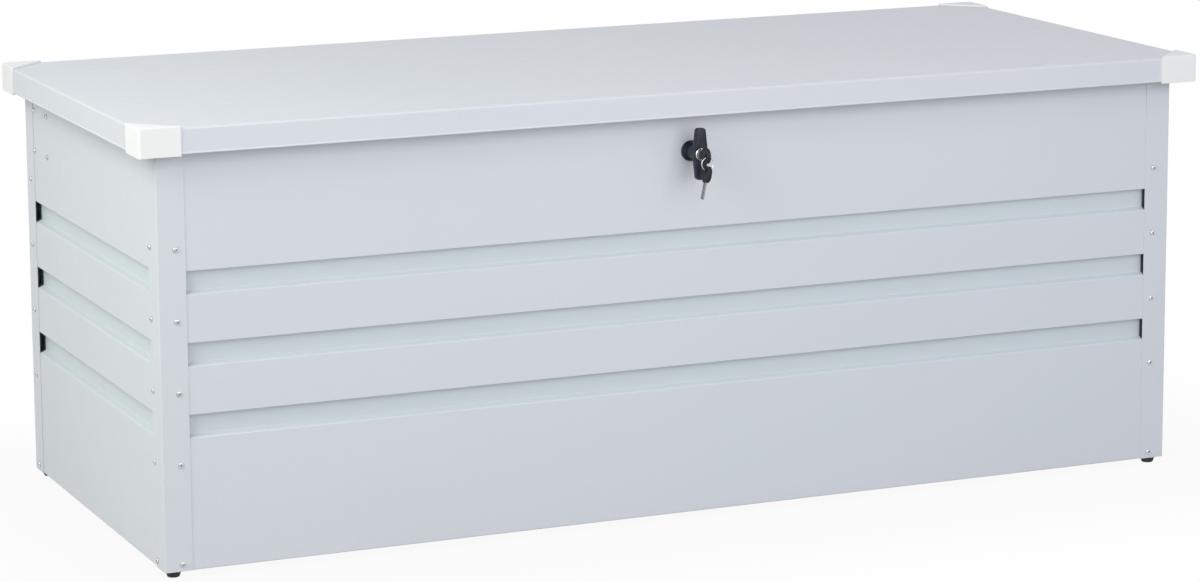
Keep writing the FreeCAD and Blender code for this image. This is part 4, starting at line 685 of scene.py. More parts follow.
class Bench:
    """The modelling moves: each works on one piece through Blender's own operators."""

    @staticmethod
    def only(*pieces: Piece) -> None:
        """Selects some pieces alone and makes the first one active.

        Args:
            pieces: the pieces.
        """
        bpy.ops.object.select_all(action="DESELECT")
        for piece in pieces:
            piece.select_set(True)
        bpy.context.view_layer.objects.active = pieces[0]

    @staticmethod
    def edit(piece: Piece, *moves: Callable[[], object]) -> None:
        """Runs moves in edit mode on what is selected in the mesh.

        Args:
            piece: the piece.
            moves: the moves, in order.
        """
        Bench.only(piece)
        bpy.ops.object.mode_set(mode="EDIT")
        for move in moves:
            move()
        bpy.ops.object.mode_set(mode="OBJECT")

    @staticmethod
    def everything() -> None:
        """Selects the whole mesh, in edit mode."""
        bpy.ops.mesh.select_all(action="SELECT")

    @staticmethod
    def welded() -> None:
        """Merges the selected points that meet, in edit mode."""
        bpy.ops.mesh.remove_doubles(threshold=WELD)

    @staticmethod
    def outward() -> None:
        """Turns the selected faces outwards, in edit mode."""
        bpy.ops.mesh.normals_make_consistent(inside=False)

    @staticmethod
    def pick(piece: Piece, kind: Pick, test: Callable[[object], bool]) -> None:
        """Selects points, edges or faces of a mesh.

        Args:
            piece: the piece.
            kind: what is picked.
            test: true for what is wanted; it gets a point, an edge's pair of points or a face.
        """
        mesh = piece.data
        points = mesh.vertices
        pairs = [[points[end] for end in edge.vertices] for edge in mesh.edges]
        groups = {
            Pick.POINTS: zip(points, points),
            Pick.EDGES: zip(mesh.edges, pairs),
            Pick.FACES: zip(mesh.polygons, mesh.polygons),
        }
        bpy.context.tool_settings.mesh_select_mode = [word is kind for word in Pick]
        for word, group in groups.items():
            for item, tested in group:
                item.select = word is kind and test(tested)

    @staticmethod
    def named(name: str) -> Piece:
        """Names the piece that was added last, with its place applied to its mesh.

        Args:
            name: the piece's name.

        Returns:
            The piece.
        """
        piece = bpy.context.object
        piece.name = name
        piece.data.name = name
        return Bench.settle(piece)

    @staticmethod
    def settle(piece: Piece) -> Piece:
        """Applies a piece's place, turn and scale to its mesh.

        Args:
            piece: the piece.

        Returns:
            The piece.
        """
        Bench.only(piece)
        bpy.ops.object.transform_apply(location=True, rotation=True, scale=True)
        return piece

    @staticmethod
    def block(name: str, low: Vector, high: Vector) -> Piece:
        """A block between two corners, as a start.

        Args:
            name: the piece's name.
            low: its lowest corner.
            high: its highest corner.

        Returns:
            The block.
        """
        bpy.ops.object.select_all(action="DESELECT")
        bpy.ops.mesh.primitive_cube_add(size=1, location=(low + high) / 2, scale=high - low)
        return Bench.named(name)

    @staticmethod
    def turned(name: str, profile: Profile, sides: int = 32, closed: bool = False) -> Piece:
        """Turns a profile about the Z axis by extruding and resizing one ring.

        Args:
            name: the piece's name.
            profile: radius and height of each ring, in metres; a radius of 0 at an end closes it.
            sides: points round each ring.
            closed: true if the last ring joins the first, as round a bore.

        Returns:
            The piece.
        """
        rings = list(profile) + ([profile[0]] if closed else [])
        capped_low = rings[0][0] == 0
        capped_high = rings[-1][0] == 0
        rings = [ring for ring in rings if ring[0] > 0]
        radius, height = rings[0]
        bpy.ops.object.select_all(action="DESELECT")
        bpy.ops.mesh.primitive_circle_add(vertices=sides, radius=radius, location=(0, 0, height))
        piece = Bench.named(name)
        bpy.context.tool_settings.mesh_select_mode = (False, True, False)
        bpy.ops.object.mode_set(mode="EDIT")
        Bench.everything()
        if capped_low:
            bpy.ops.mesh.edge_face_add()
            Bench.everything()
            bpy.ops.mesh.region_to_loop()
        for wide, high in rings[1:]:
            lift = {"value": (0, 0, high - height)}
            bpy.ops.mesh.extrude_edges_move(TRANSFORM_OT_translate=lift)
            ratio = wide / radius
            bpy.ops.transform.resize(value=(ratio, ratio, 1), center_override=(0, 0, high))
            radius, height = wide, high
        if capped_high:
            bpy.ops.mesh.edge_face_add()
        Bench.everything()
        Bench.welded()
        Bench.outward()
        bpy.ops.object.mode_set(mode="OBJECT")
        return piece

    @staticmethod
    def peg(name: str, radius: float, low: float, high: float, sides: int = 48) -> Piece:
        """A straight peg along the Z axis, to cut a bore with."""
        return Bench.turned(name, [(0, low), (radius, low), (radius, high), (0, high)], sides)

    @staticmethod
    def put(piece: Piece, place: Vector, axis: Vector) -> Piece:
        """Turns a piece's Z axis to a direction, moves its origin to a place and applies both.

        Args:
            piece: the piece.
            place: where its origin goes.
            axis: the new direction of its Z axis.

        Returns:
            The piece.
        """
        piece.rotation_mode = "QUATERNION"
        piece.rotation_quaternion = UP.rotation_difference(axis)
        piece.location = place
        Bench.settle(piece)
        piece.rotation_mode = "XYZ"
        return piece

    @staticmethod
    def centred(piece: Piece, low: Vector, high: Vector) -> Piece:
        """Puts an upright piece at the middle of a box in plan, with its heights kept."""
        return Bench.put(piece, Vector((*((low + high) / 2).xy, 0)), UP)

    @staticmethod
    def copied(piece: Piece, name: str) -> Piece:
        """A copy of a piece with its own mesh.

        Args:
            piece: the piece.
            name: the copy's name.

        Returns:
            The copy.
        """
        twin = piece.copy()
        twin.data = piece.data.copy()
        twin.name = name
        bpy.context.scene.collection.objects.link(twin)
        return twin

    @staticmethod
    def joined(name: str, pieces: list[Piece]) -> Piece:
        """Joins pieces into one.

        Args:
            name: its name.
            pieces: the pieces.

        Returns:
            The joined piece.
        """
        Bench.only(*pieces)
        bpy.ops.object.join()
        pieces[0].name = name
        return pieces[0]

    @staticmethod
    def removed(piece: Piece) -> None:
        """Deletes a helper piece."""
        bpy.data.objects.remove(piece, do_unlink=True)

    @staticmethod
    def modified(piece: Piece, kind: str, **settings: object) -> Piece:
        """Adds a modifier and applies it.

        Args:
            piece: the piece.
            kind: the modifier's type.
            settings: its values.

        Returns:
            The piece.
        """
        Bench.only(piece)
        modifier = piece.modifiers.new(kind.lower(), kind)
        for key, value in settings.items():
            setattr(modifier, key, value)
        bpy.ops.object.modifier_apply(modifier=modifier.name)
        return piece

    @staticmethod
    def combined(piece: Piece, tool: Piece, way: Way) -> Piece:
        """Cuts, joins or trims a piece with a helper, which is then deleted.

        Args:
            piece: the piece.
            tool: the helper.
            way: what the helper does.

        Returns:
            The piece.
        """
        Bench.modified(piece, "BOOLEAN", operation=way.value, solver="EXACT", object=tool)
        Bench.removed(tool)
        return piece

    @staticmethod
    def eased(piece: Piece, width: float, segments: int = 2, angle: float = 30) -> Piece:
        """Rounds every edge that turns by more than an angle, in degrees."""
        limit = {"limit_method": "ANGLE", "angle_limit": math.radians(angle)}
        return Bench.modified(piece, "BEVEL", width=width, segments=segments, **limit)

    @staticmethod
    def smooth(piece: Piece) -> Piece:
        """Shades a piece smooth, with sharp edges where it turns by more than SMOOTH.

        Args:
            piece: the piece.

        Returns:
            The piece.
        """
        Bench.only(piece)
        bpy.ops.object.shade_smooth_by_angle(angle=SMOOTH)
        return piece

    @staticmethod
    def levelled(piece: Piece) -> Piece:
        """Keeps large flat faces flat in the light, so that only the eased edges turn it."""
        return Bench.modified(
            piece, "WEIGHTED_NORMAL", mode="FACE_AREA", weight=100, keep_sharp=True
        )

    @staticmethod
    def from_node(node: str, easing: float, segments: int = 2) -> Piece:
        """A welded copy of a node, with its flat faces merged and its edges eased.

        Args:
            node: the node's name.
            easing: width of the easing, in metres.
            segments: its steps.

        Returns:
            The new piece, named after the node.
        """
        piece = Bench.copied(bpy.data.objects[node], f"{node}_piece")
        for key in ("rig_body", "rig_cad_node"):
            del piece[key]
        piece.parent = None
        Bench.only(piece)
        bpy.ops.mesh.customdata_custom_splitnormals_clear()
        flat = {"angle_limit": FLAT}
        merged = (Bench.everything, Bench.welded, lambda: bpy.ops.mesh.dissolve_limited(**flat))
        Bench.edit(piece, *merged)
        return Bench.levelled(Bench.smooth(Bench.eased(piece, easing, segments)))


def islands(node: str) -> list[Box]:
    """The boxes of the separate solids in a node.

    Args:
        node: the node's name.

    Returns:
        Lowest and highest corner of each solid.
    """
    mesh = bpy.data.objects[node].data
    keys = [tuple(round(part / WELD) for part in vertex.co) for vertex in mesh.vertices]
    parent = {key: key for key in keys}

    def root(key: tuple) -> tuple:
        """The key that stands for all joined with this one.

        Args:
            key: a rounded place.

        Returns:
            The key of its group.
        """
        while parent[key] != key:
            parent[key] = parent[parent[key]]
            key = parent[key]
        return key

    for face in mesh.polygons:
        first = root(keys[face.vertices[0]])
        for index in face.vertices[1:]:
            parent[root(keys[index])] = first
    spots = {}
    for key, vertex in zip(keys, mesh.vertices):
        spots.setdefault(root(key), []).append(vertex.co)
    return [tuple(Vector(map(end, zip(*group))) for end in (min, max)) for group in spots.values()]


def for_each_solid(node: str, make: Maker) -> Piece:
    """Makes a piece for each solid in a node and joins them.

    Args:
        node: the node's name.
        make: makes a piece from its number and its solid's lowest and highest corner.

    Returns:
        The joined piece, named after the node.
    """
    copies = [make(index, *box) for index, box in enumerate(islands(node))]
    return Bench.joined(f"{node}_piece", copies)


def rings_near(radius: float, height: float, *steps: tuple[float, float]) -> Profile:
    """Rings of a profile at steps, in millimetres, from one radius and height in metres."""
    return [(radius + out * MM, height + up * MM) for out, up in steps]


@dataclass
class CrossHeadScrew:
    """A pan-head screw with a cross recess: Z points out of the head, and its seat is at Z = 0."""

    head: float = 8.2 * MM
    rise: float = 2.4 * MM
    thread: float = 4.0 * MM
    length: float = 7.0 * MM
    pitch: float = 1.25 * MM
    recess: float = 5.4 * MM
    recess_width: float = 1.45 * MM
    recess_depth: float = 2.1 * MM
    thread_depth: float = 0.45 * MM
    recess_taper: tuple[float, float] = (0.45, 0.8)
    point: tuple[float, float] = (1.4 * MM, 0.3 * MM)
    chamfer: float = 0.4 * MM
    pointed: bool = True

    def build(self, name: str, sides: int = 16) -> Piece:
        """Models the screw.

        Args:
            name: the piece's name.
            sides: points round it.

        Returns:
            The screw.
        """
        crest, root = self.thread / 2, self.thread / 2 - self.thread_depth
        point, tip = self.point if self.pointed else (self.chamfer, root)
        rings: Profile = [(0, -self.length), (tip, -self.length)]
        turns = int((self.length - point) / self.pitch)
        start = -self.length + point
        for turn in range(turns):
            low = start + turn * self.pitch
            rings += [(root, low), (root, low + 0.45 * self.pitch)]
            rings += [(crest, low + 0.72 * self.pitch)]
        rings += [(root, start + turns * self.pitch), (root, 0)]
        edge = self.head / 2
        rings += rings_near(edge, 0, (-0.1, 0), (0, 0.12))
        rings += [(out * edge, up * self.rise) for out, up in HEAD_DOME]
        screw = Bench.turned(name, rings, sides)
        long, short = self.recess / 2, self.recess_width / 2
        for half_x, half_y in ((short, long), (long, short)):
            Bench.combined(screw, self.recess_bar(half_x, half_y), Way.CUT)
        return Bench.smooth(screw)

    def recess_bar(self, half_x: float, half_y: float) -> Piece:
        """One bar of the cross that is cut into the head, narrower at its floor.

        Args:
            half_x: half its size along X.
            half_y: half its size along Y.

        Returns:
            The bar.
        """
        base = self.rise - self.recess_depth
        low, high = Vector((-half_x, -half_y, base)), Vector((half_x, half_y, 2 * self.rise))
        bar = Bench.block("recess_bar", low, high)
        Bench.pick(bar, Pick.FACES, lambda face: face.center.z < base + self.recess_depth / 2)
        length, width = self.recess_taper
        taper = (length, width, 1) if half_x > half_y else (width, length, 1)
        floor = {"value": taper, "center_override": (0, 0, base)}
        Bench.edit(bar, lambda: bpy.ops.transform.resize(**floor))
        return bar


@dataclass
class HexNut:
    """A hexagon nut with chamfered corners and a threaded bore, standing on Z = 0."""

    flats: float
    height: float
    bore: float
    pitch: float = 0.9 * MM
    drop: float = 0.7
    facing: float = 0.98
    clearance: float = 0.01 * MM

    def build(self, name: str) -> Piece:
        """Models the nut.

        Args:
            name: the piece's name.

        Returns:
            The nut.
        """
        corner = self.flats / 2 / math.cos(math.pi / 6)
        bpy.ops.object.select_all(action="DESELECT")
        bpy.ops.mesh.primitive_cylinder_add(
            vertices=6, radius=corner, depth=self.height, location=(0, 0, self.height / 2),
            rotation=(0, 0, math.pi / 6),
        )
        nut = Bench.named(name)
        drop = (corner - self.flats / 2) * self.drop
        flat, wide = self.flats / 2 * self.facing, corner + self.clearance
        rings: Profile = [(0, 0), (flat, 0), (wide, drop), (wide, self.height - drop)]
        rings += [(flat, self.height), (0, self.height)]
        Bench.combined(nut, Bench.turned("nut_chamfer", rings, 48), Way.KEEP)
        bore, steps = self.bore / 2, max(3, int(self.height / self.pitch))
        rings = [(0, -self.height), *rings_near(bore, 0, (0.5, -0.5), (0, 0.3))]
        for step in range(1, steps):
            rings += rings_near(bore, self.height * step / steps, (0.3, -0.15), (0, 0.15))
        rings += [*rings_near(bore, self.height, (0.5, 0.5)), (0, 2 * self.height)]
        Bench.combined(nut, Bench.turned("nut_bore", rings, 32), Way.CUT)
        return Bench.smooth(nut)


@dataclass
class Lamp:
    """A wide square lamp that faces the chest."""

    name: str
    place: tuple[float, float, float]
    width: float
    power: float
    colour: Colour
    aim: tuple[float, float, float] = (0, 0, 0.3)

    def build(self) -> None:
        """Makes the lamp and hangs it in its place."""
        light = bpy.data.lights.new(self.name, "AREA")
        light.shape = "SQUARE"
        light.size = self.width
        light.energy = self.power
        light.color = self.colour
        lamp = bpy.data.objects.new(self.name, light)
        bpy.context.scene.collection.objects.link(lamp)
        lamp.location = self.place
        ahead = Vector(self.aim) - Vector(self.place)
        lamp.rotation_euler = ahead.to_track_quat("-Z", "Y").to_euler()


@dataclass
class Studio:
    """A white floor that meets a white background, soft light from above and two wide lamps."""

    reach: float = 60.0
    half_length: float = 0.80
    half_depth: float = 0.36
    near: float = 0.02
    far: float = 0.45
    floor_colour: Colour = (0.44, 0.44, 0.44)
    ambient: float = 0.53
    bare: float = 0.93
    sky: Colour = (0.94, 0.99, 1.03)
    lamps: tuple[Lamp, ...] = (
        Lamp("left_lamp", (-2.35, -0.70, 1.75), 1.8, 38.5, (0.98, 1.0, 0.90)),
        Lamp("front_lamp", (0.3, -2.8, 1.35), 2.4, 37.0, (1.0, 0.99, 1.0)),
    )

    def build(self) -> None:
        """Makes the floor, the world and the lamps."""
        self.floor()
        self.world()
        for lamp in self.lamps:
            lamp.build()

    def seen(self, graph: Graph) -> Wire:
        """What the camera sees, directly, mirrored or through glass.

        Args:
            graph: the nodes of the floor or the world.

        Returns:
            1 for what is seen and 0 for plain light.
        """
        path = graph.node("LightPath")
        rays = ("Is Camera Ray", "Is Glossy Ray", "Is Transmission Ray")
        first, second, third = (graph.wire(path, ray) for ray in rays)
        return graph.maths("MAXIMUM", graph.maths("MAXIMUM", first, second), third)

    def whitened(self, graph: Graph, lit: bpy.types.Node, kind: str, share: Wire) -> bpy.types.Node:
        """Mixes a shader with plain white.

        Args:
            graph: the nodes of the floor or the world.
            lit: the shader that answers to the light or gives it.
            kind: the type of the white one.
            share: of the white one.

        Returns:
            The mixed shader.
        """
        white = graph.node(kind, None, {"Color": (1, 1, 1, 1), "Strength": 1.0})
        return graph.node("MixShader", None, {0: share, 1: graph.wire(lit), 2: graph.wire(white)})

    def floor(self) -> None:
        """The floor keeps the shadow near the chest and fades into plain white further out."""
        bpy.ops.object.select_all(action="DESELECT")
        bpy.ops.mesh.primitive_plane_add(size=self.reach)
        plane = Bench.named("studio_floor")
        graph = new_material("studio_floor")
        across, along, _ = graph.axes(graph.spot())
        aside = graph.maths("ABSOLUTE", across) - self.half_length
        ahead = graph.maths("ABSOLUTE", along) - self.half_depth
        outside = graph.maths("MAXIMUM", aside, ahead)
        fade = graph.span(outside, self.near, self.far, self.bare, 1) * self.seen(graph)
        matt = graph.node("BsdfDiffuse", None, {"Color": (*self.floor_colour, 1)})
        graph.output("OutputMaterial", self.whitened(graph, matt, "Emission", fade))
        plane.data.materials.append(graph.owner)

    def world(self) -> None:
        """Soft light from all round, behind a background that shows plain white."""
        world = bpy.data.worlds.new("studio")
        bpy.context.scene.world = world
        bpy.context.scene.view_settings.view_transform = "Standard"
        graph = Graph(world)
        light = {"Color": (*self.sky, 1), "Strength": self.ambient}
        soft = graph.node("Background", None, light)
        graph.output("OutputWorld", self.whitened(graph, soft, "Background", self.seen(graph)))


@dataclass
class PhotoCamera:
    """The camera at the photograph's place: before the chest, to its left and a little above."""

    place: tuple[float, float, float] = (-2.3006, -5.2677, 1.4490)
    yaw: float = math.radians(23.503)
    pitch: float = math.radians(9.851)
    roll: float = math.radians(-0.322)
    picture_width: float = 1200.0
    focal_pixels: float = 3883.9
    drop_pixels: float = 111.0
    sensor: float = 36.0
    farthest: float = 200.0

    def build(self) -> None:
        """Makes the camera and sets it as the scene's own."""
        ahead = Vector((
            math.sin(self.yaw) * math.cos(self.pitch),
            math.cos(self.yaw) * math.cos(self.pitch),
            -math.sin(self.pitch),
        ))
        right = Vector((math.cos(self.yaw), -math.sin(self.yaw), 0))
        above = right.cross(ahead)
        turned_right = math.cos(self.roll) * right + math.sin(self.roll) * above
        turned_above = math.cos(self.roll) * above - math.sin(self.roll) * right
        lens = bpy.data.cameras.new("photo_camera")
        lens.sensor_width = self.sensor
        lens.lens = self.focal_pixels / self.picture_width * self.sensor
        lens.shift_y = -self.drop_pixels / self.picture_width
        lens.clip_end = self.farthest
        camera = bpy.data.objects.new("photo_camera", lens)
        bpy.context.scene.collection.objects.link(camera)
        turn = Matrix((turned_right, turned_above, -ahead)).transposed()
        camera.rotation_euler = turn.to_euler()
        camera.location = self.place
        bpy.context.scene.camera = camera


@dataclass
class Carcass:
    """The chest's body: panels, posts, brackets and the floor, all of folded sheet."""

    paintbox: Paintbox
    easing: float = 0.22 * MM

    def build(self) -> None:
        """Builds and dresses every folded piece of the body."""
        for node in ("front_panel", "rear_panel", "left_side_panel", "right_side_panel"):
            self.fold(node, Finish.BODY_PAINT)
        for corner in Corner:
            self.fold(f"{corner.value}_post", Finish.BODY_PAINT)
            self.fold(f"{corner.value}_bracket", Finish.ZINC_SHEET)
        for station in Station:
            self.fold(f"{station.value}_floor_channel", Finish.ZINC_SHEET)
        for side in Side:
            self.fold(f"{side.value}_floor_sheet", Finish.ZINC_SHEET)

    def fold(self, node: str, finish: Finish) -> None:
        """One folded piece, from its node."""
        self.paintbox.dress_node(node, finish, "chest", self.easing)


@dataclass
class Feet:
    """The rubber feet with their bolts and nuts."""

    paintbox: Paintbox
    base: float = 9 * MM
    rounding: float = 1.8 * MM
    socket: float = 5 * MM
    bore: float = 2.7 * MM
    deck: float = 4 * MM

    def build(self) -> None:
        """Builds the feet, bolts and nuts."""
        for corner in Corner:
            self.foot(f"{corner.value}_foot")
        screw = CrossHeadScrew(
            head=9 * MM, rise=2.5 * MM, thread=5 * MM, length=11.3 * MM, pitch=0.8 * MM,
            recess=5 * MM, pointed=False,
        )
        bolt = screw.build("foot_bolt", 24)
        nut = HexNut(8 * MM, 3.5 * MM, 4.4 * MM).build("foot_nut")
        self.repeat(bolt, "foot_bolts", screw.rise, -UP)
        self.repeat(nut, "foot_nuts", 0, UP)

    def foot(self, node: str) -> None:
        """One foot: a tapered plug with a rounded lower edge and a socket for the bolt's head.

        Args:
            node: the node that it stands for.
        """
        low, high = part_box(node)
        top = (high.x - low.x) / 2
        rings: Profile = [(self.socket + 0.4 * MM, low.z)]
        for angle in map(math.radians, (0, 22, 45, 67, 90)):
            inset, lift = 1 - math.sin(angle), 1 - math.cos(angle)
            rings += [(self.base - self.rounding * inset, low.z + self.rounding * lift)]
        collar = ((-0.6, -2.4), (-0.1, -2.1), (0, -1.7), (0, -0.3), (-0.3, 0))
        rings += rings_near(top, high.z, *collar)
        rings += [(self.bore, high.z), (self.bore, high.z - self.deck)]
        rings += [(self.socket, high.z - self.deck), (self.socket, low.z + 0.4 * MM)]
        piece = Bench.turned(f"{node}_piece", rings, 48, closed=True)
        Bench.centred(piece, low, high)
        self.paintbox.dress(Bench.smooth(piece), Finish.BLACK_RUBBER, "chest", node)

    def repeat(self, pattern: Piece, node: str, seat: float, axis: Vector) -> None:
        """Copies a fastener to each place in its node.

        Args:
            pattern: the modelled fastener, which is deleted at the end.
            node: the node that it stands for.
            seat: height of the fastener's origin above the lowest point of its solid.
            axis: the direction of its Z axis.
        """

        def make(index: int, low: Vector, high: Vector) -> Piece:
            """One copy, under the middle of its solid."""
            place = Vector((*((low + high) / 2).xy, low.z + seat))
            return Bench.put(Bench.copied(pattern, f"{node}_{index}"), place, axis)

        piece = for_each_solid(node, make)
        Bench.removed(pattern)
        self.paintbox.dress(piece, Finish.ZINC_STEEL, "chest", node)


@dataclass
class PanelScrews:
    """All the screws that hold the posts, the panels and the hinge plates together."""

    paintbox: Paintbox
    screw: CrossHeadScrew = field(default_factory=CrossHeadScrew)
    node: str = "panel_screws"
    twist: float = math.radians(37)

    def build(self) -> None:
        """Copies one modelled screw to every place in the node."""
        pattern = self.screw.build("panel_screw")

        def make(index: int, low: Vector, high: Vector) -> Piece:
            """One copy, its cross turned further than the last, its head on the wall's outside.

            Args:
                index: its number.
                low: the lowest corner of its solid.
                high: the highest corner.

            Returns:
                The copy.
            """
            centre, reach = (low + high) / 2, high - low
            along_x = reach.x > reach.y
            way = math.copysign(1, centre.x if along_x else centre.y)
            axis = Vector((way, 0, 0)) if along_x else Vector((0, way, 0))
            half = (reach.x if along_x else reach.y) / 2
            twin = Bench.copied(pattern, f"panel_screw_{index}")
            twin.data.transform(Matrix.Rotation(index * self.twist, 4, "Z"))
            return Bench.put(twin, centre + axis * (half - self.screw.rise), axis)

        piece = for_each_solid(self.node, make)
        Bench.removed(pattern)
        self.paintbox.dress(piece, Finish.SCREW_STEEL, "chest", self.node)


@dataclass
class Lid:
    """The lid: sheet, corner caps, ribs, rivets and the buffers that it closes on."""

    paintbox: Paintbox
    easing: float = 0.25 * MM
    cap_easing: float = 0.35 * MM
    bead_base: float = 0.05 * MM
    bead_height: float = 2.6 * MM
    bead_rise: float = 0.7 * MM
    rivet_head: float = 4.5 * MM
    rivet_shank: float = 2.4 * MM
    rivet_rise: float = 1.4 * MM
    buffer_radius: float = 6 * MM
    buffer_stem: float = 3 * MM
    buffer_bulb: float = 4 * MM
    buffer_below: float = 3 * MM
    flange: float = 0.8 * MM

    def build(self) -> None:
        """Builds and dresses the lid."""
        self.paintbox.dress_node("lid_sheet", Finish.LID_PAINT, "lid", self.easing)
        for station in Station:
            rib = f"{station.value}_lid_rib"
            self.paintbox.dress_node(rib, Finish.LID_PAINT, "lid", self.easing)
        for corner in Corner:
            cap = f"{corner.value}_cap"
            self.paintbox.dress_node(cap, Finish.WHITE_PLASTIC, "lid", self.cap_easing)
        rivets = Bench.smooth(for_each_solid("lid_rivets", self.rivet))
        self.paintbox.dress(rivets, Finish.ZINC_STEEL, "lid", "lid_rivets")
        buffers = Bench.smooth(for_each_solid("lid_buffers", self.buffer))
        self.paintbox.dress(buffers, Finish.BLACK_RUBBER, "chest", "lid_buffers")
        self.rolled_edge()

    def rolled_edge(self) -> None:
        """The bead of the rolled hem along the skirt's lower edge, between the caps."""
        low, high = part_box("lid_sheet")
        start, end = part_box("front_left_cap")[1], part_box("rear_right_cap")[0]
        base, top, proud = low.z + self.bead_base, low.z + self.bead_height, self.bead_rise
        spans = [((start.x, y - proud, base), (end.x, y + proud, top)) for y in (low.y, high.y)]
        spans += [((x - proud, start.y, base), (x + proud, end.y, top)) for x in (low.x, high.x)]
        beads = [
            Bench.block(f"bead_{index}", Vector(near), Vector(far))
            for index, (near, far) in enumerate(spans)
        ]
        piece = Bench.joined("lid_rolled_edge", beads)
        Bench.smooth(Bench.eased(piece, 0.9 * proud, 4))
        self.paintbox.dress(piece, Finish.LID_PAINT, "lid")

    def rivet(self, index: int, low: Vector, high: Vector) -> Piece:
        """A rivet with a dome below the rib and a flatter set head inside it.

        Args:
            index: its number.
            low: the lowest corner of its solid.
            high: the highest corner.

        Returns:
            The rivet.
        """
        head, shank, rise = self.rivet_head, self.rivet_shank, self.rivet_rise
        dome, top = low.z + rise, high.z - rise
        rings: Profile = [(0, low.z), (0.35 * head, low.z), (0.7 * head, low.z + 0.3 * rise)]
        rings += [(0.93 * head, low.z + 0.65 * rise), (head, dome), (shank, dome), (shank, top)]
        rings += [(0.86 * head, top), (0.9 * head, top + 0.5 * rise)]
        rings += [(0.6 * head, high.z - 0.1 * MM), (0.3 * head, high.z), (0, high.z)]
        return Bench.centred(Bench.turned(f"rivet_{index}", rings, 20), low, high)

    def buffer(self, index: int, low: Vector, high: Vector) -> Piece:
        """A rubber buffer with a domed top, a waist in the flange and a bulb below it.

        Args:
            index: its number.
            low: the lowest corner of its solid.
            high: the highest corner.

        Returns:
            The buffer.
        """
        wide, stem, bulb = self.buffer_radius, self.buffer_stem, self.buffer_bulb
        under = low.z + self.buffer_below
        deck = under + self.flange
        rings: Profile = [(0, low.z), (0.5 * bulb, low.z), (bulb, under - 0.8 * MM), (bulb, under)]
        rings += [(stem, under), (stem, deck), (0.93 * wide, deck), (wide, deck + 0.5 * MM)]
        rings += [(wide, high.z - 1.4 * MM), (0.93 * wide, high.z - 0.6 * MM)]
        rings += [(0.7 * wide, high.z - 0.1 * MM), (0.4 * wide, high.z), (0, high.z)]
        return Bench.centred(Bench.turned(f"buffer_{index}", rings), low, high)


@dataclass
class HingeGear:
    """The hinge plates and cranked arms with their pins, spacers and strut studs."""

    paintbox: Paintbox
    easing: float = 0.4 * MM
    chamfer: float = 0.5 * MM
    spacer_bore: float = 4.05 * MM

    def build(self) -> None:
        """Builds the plates and arms, and turns the pins, studs and spacers."""
        for side in Side:
            for kind, body in (("hinge_plate", "chest"), ("hinge_arm", "lid")):
                node = f"{side.value}_{kind}"
                self.paintbox.dress_node(node, Finish.ZINC_STEEL, body, self.easing)
        self.pins("hinge_pins", "chest", [(4.0, 0.0), (7.5, 9.6), (0, 12.1)])
        stud = [(4.0, 0.0), (6.0, 2.5)]
        self.pins("lower_strut_studs", "chest", [*stud, (4.0, 15.2), (6.0, 24.8), (0, 27.3)])
        self.pins("upper_strut_studs", "lid", [*stud, (4.0, 8.4), (6.0, 18.0), (0, 20.5)])
        spacers = Bench.smooth(for_each_solid("hinge_spacers", self.spacer))
        self.paintbox.dress(spacers, Finish.BLACK_PLASTIC, "chest", "hinge_spacers")

    def pins(self, node: str, body: str, steps: Profile) -> None:
        """Turned pins with chamfered shoulders.

        Args:
            node: the node that they stand for.
            body: the body they ride on.
            steps: radius and start of each step, in millimetres from the outer end, and the end.
        """

        def make(index: int, low: Vector, high: Vector) -> Piece:
            """One pin, from its solid's outer end inwards and as long as the solid.

            Args:
                index: its number.
                low: the lowest corner of its solid.
                high: the highest corner.

            Returns:
                The pin.
            """
            side = math.copysign(1, low.x + high.x)
            end = steps[-1][1] * MM
            stretch = (high.x - low.x) / end
            rings: Profile = [(0, 0)]
            for (radius, near), (_, far) in zip(steps, steps[1:]):
                wide, first, last = radius * MM, near * MM * stretch, far * MM * stretch
                cut = self.chamfer
                rings += [(wide - cut, first), (wide, first + cut), (wide, last - cut)]
                rings += [(wide - cut, last)]
            rings += [(0, end * stretch)]
            centre = (low + high) / 2
            outer = Vector((high.x if side > 0 else low.x, centre.y, centre.z))
            return Bench.put(Bench.turned(f"{node}_{index}", rings), outer, -side * ALONG)

        piece = Bench.smooth(for_each_solid(node, make))
        self.paintbox.dress(piece, Finish.ZINC_STEEL, body, node)

    def spacer(self, index: int, low: Vector, high: Vector) -> Piece:
        """A plastic spacer ring with chamfered rims.

        Args:
            index: its number.
            low: the lowest corner of its solid.
            high: the highest corner.

        Returns:
            The ring.
        """
        wide, bore, thick = (high.y - low.y) / 2, self.spacer_bore, high.x - low.x
        cut = self.chamfer
        rings = [(bore, 0), (wide - cut, 0), (wide, cut), (wide, thick - cut)]
        rings += [(wide - cut, thick), (bore, thick)]
        centre = (low + high) / 2
        piece = Bench.turned(f"spacer_{index}", rings, 40, closed=True)
        return Bench.put(piece, Vector((low.x, centre.y, centre.z)), ALONG)


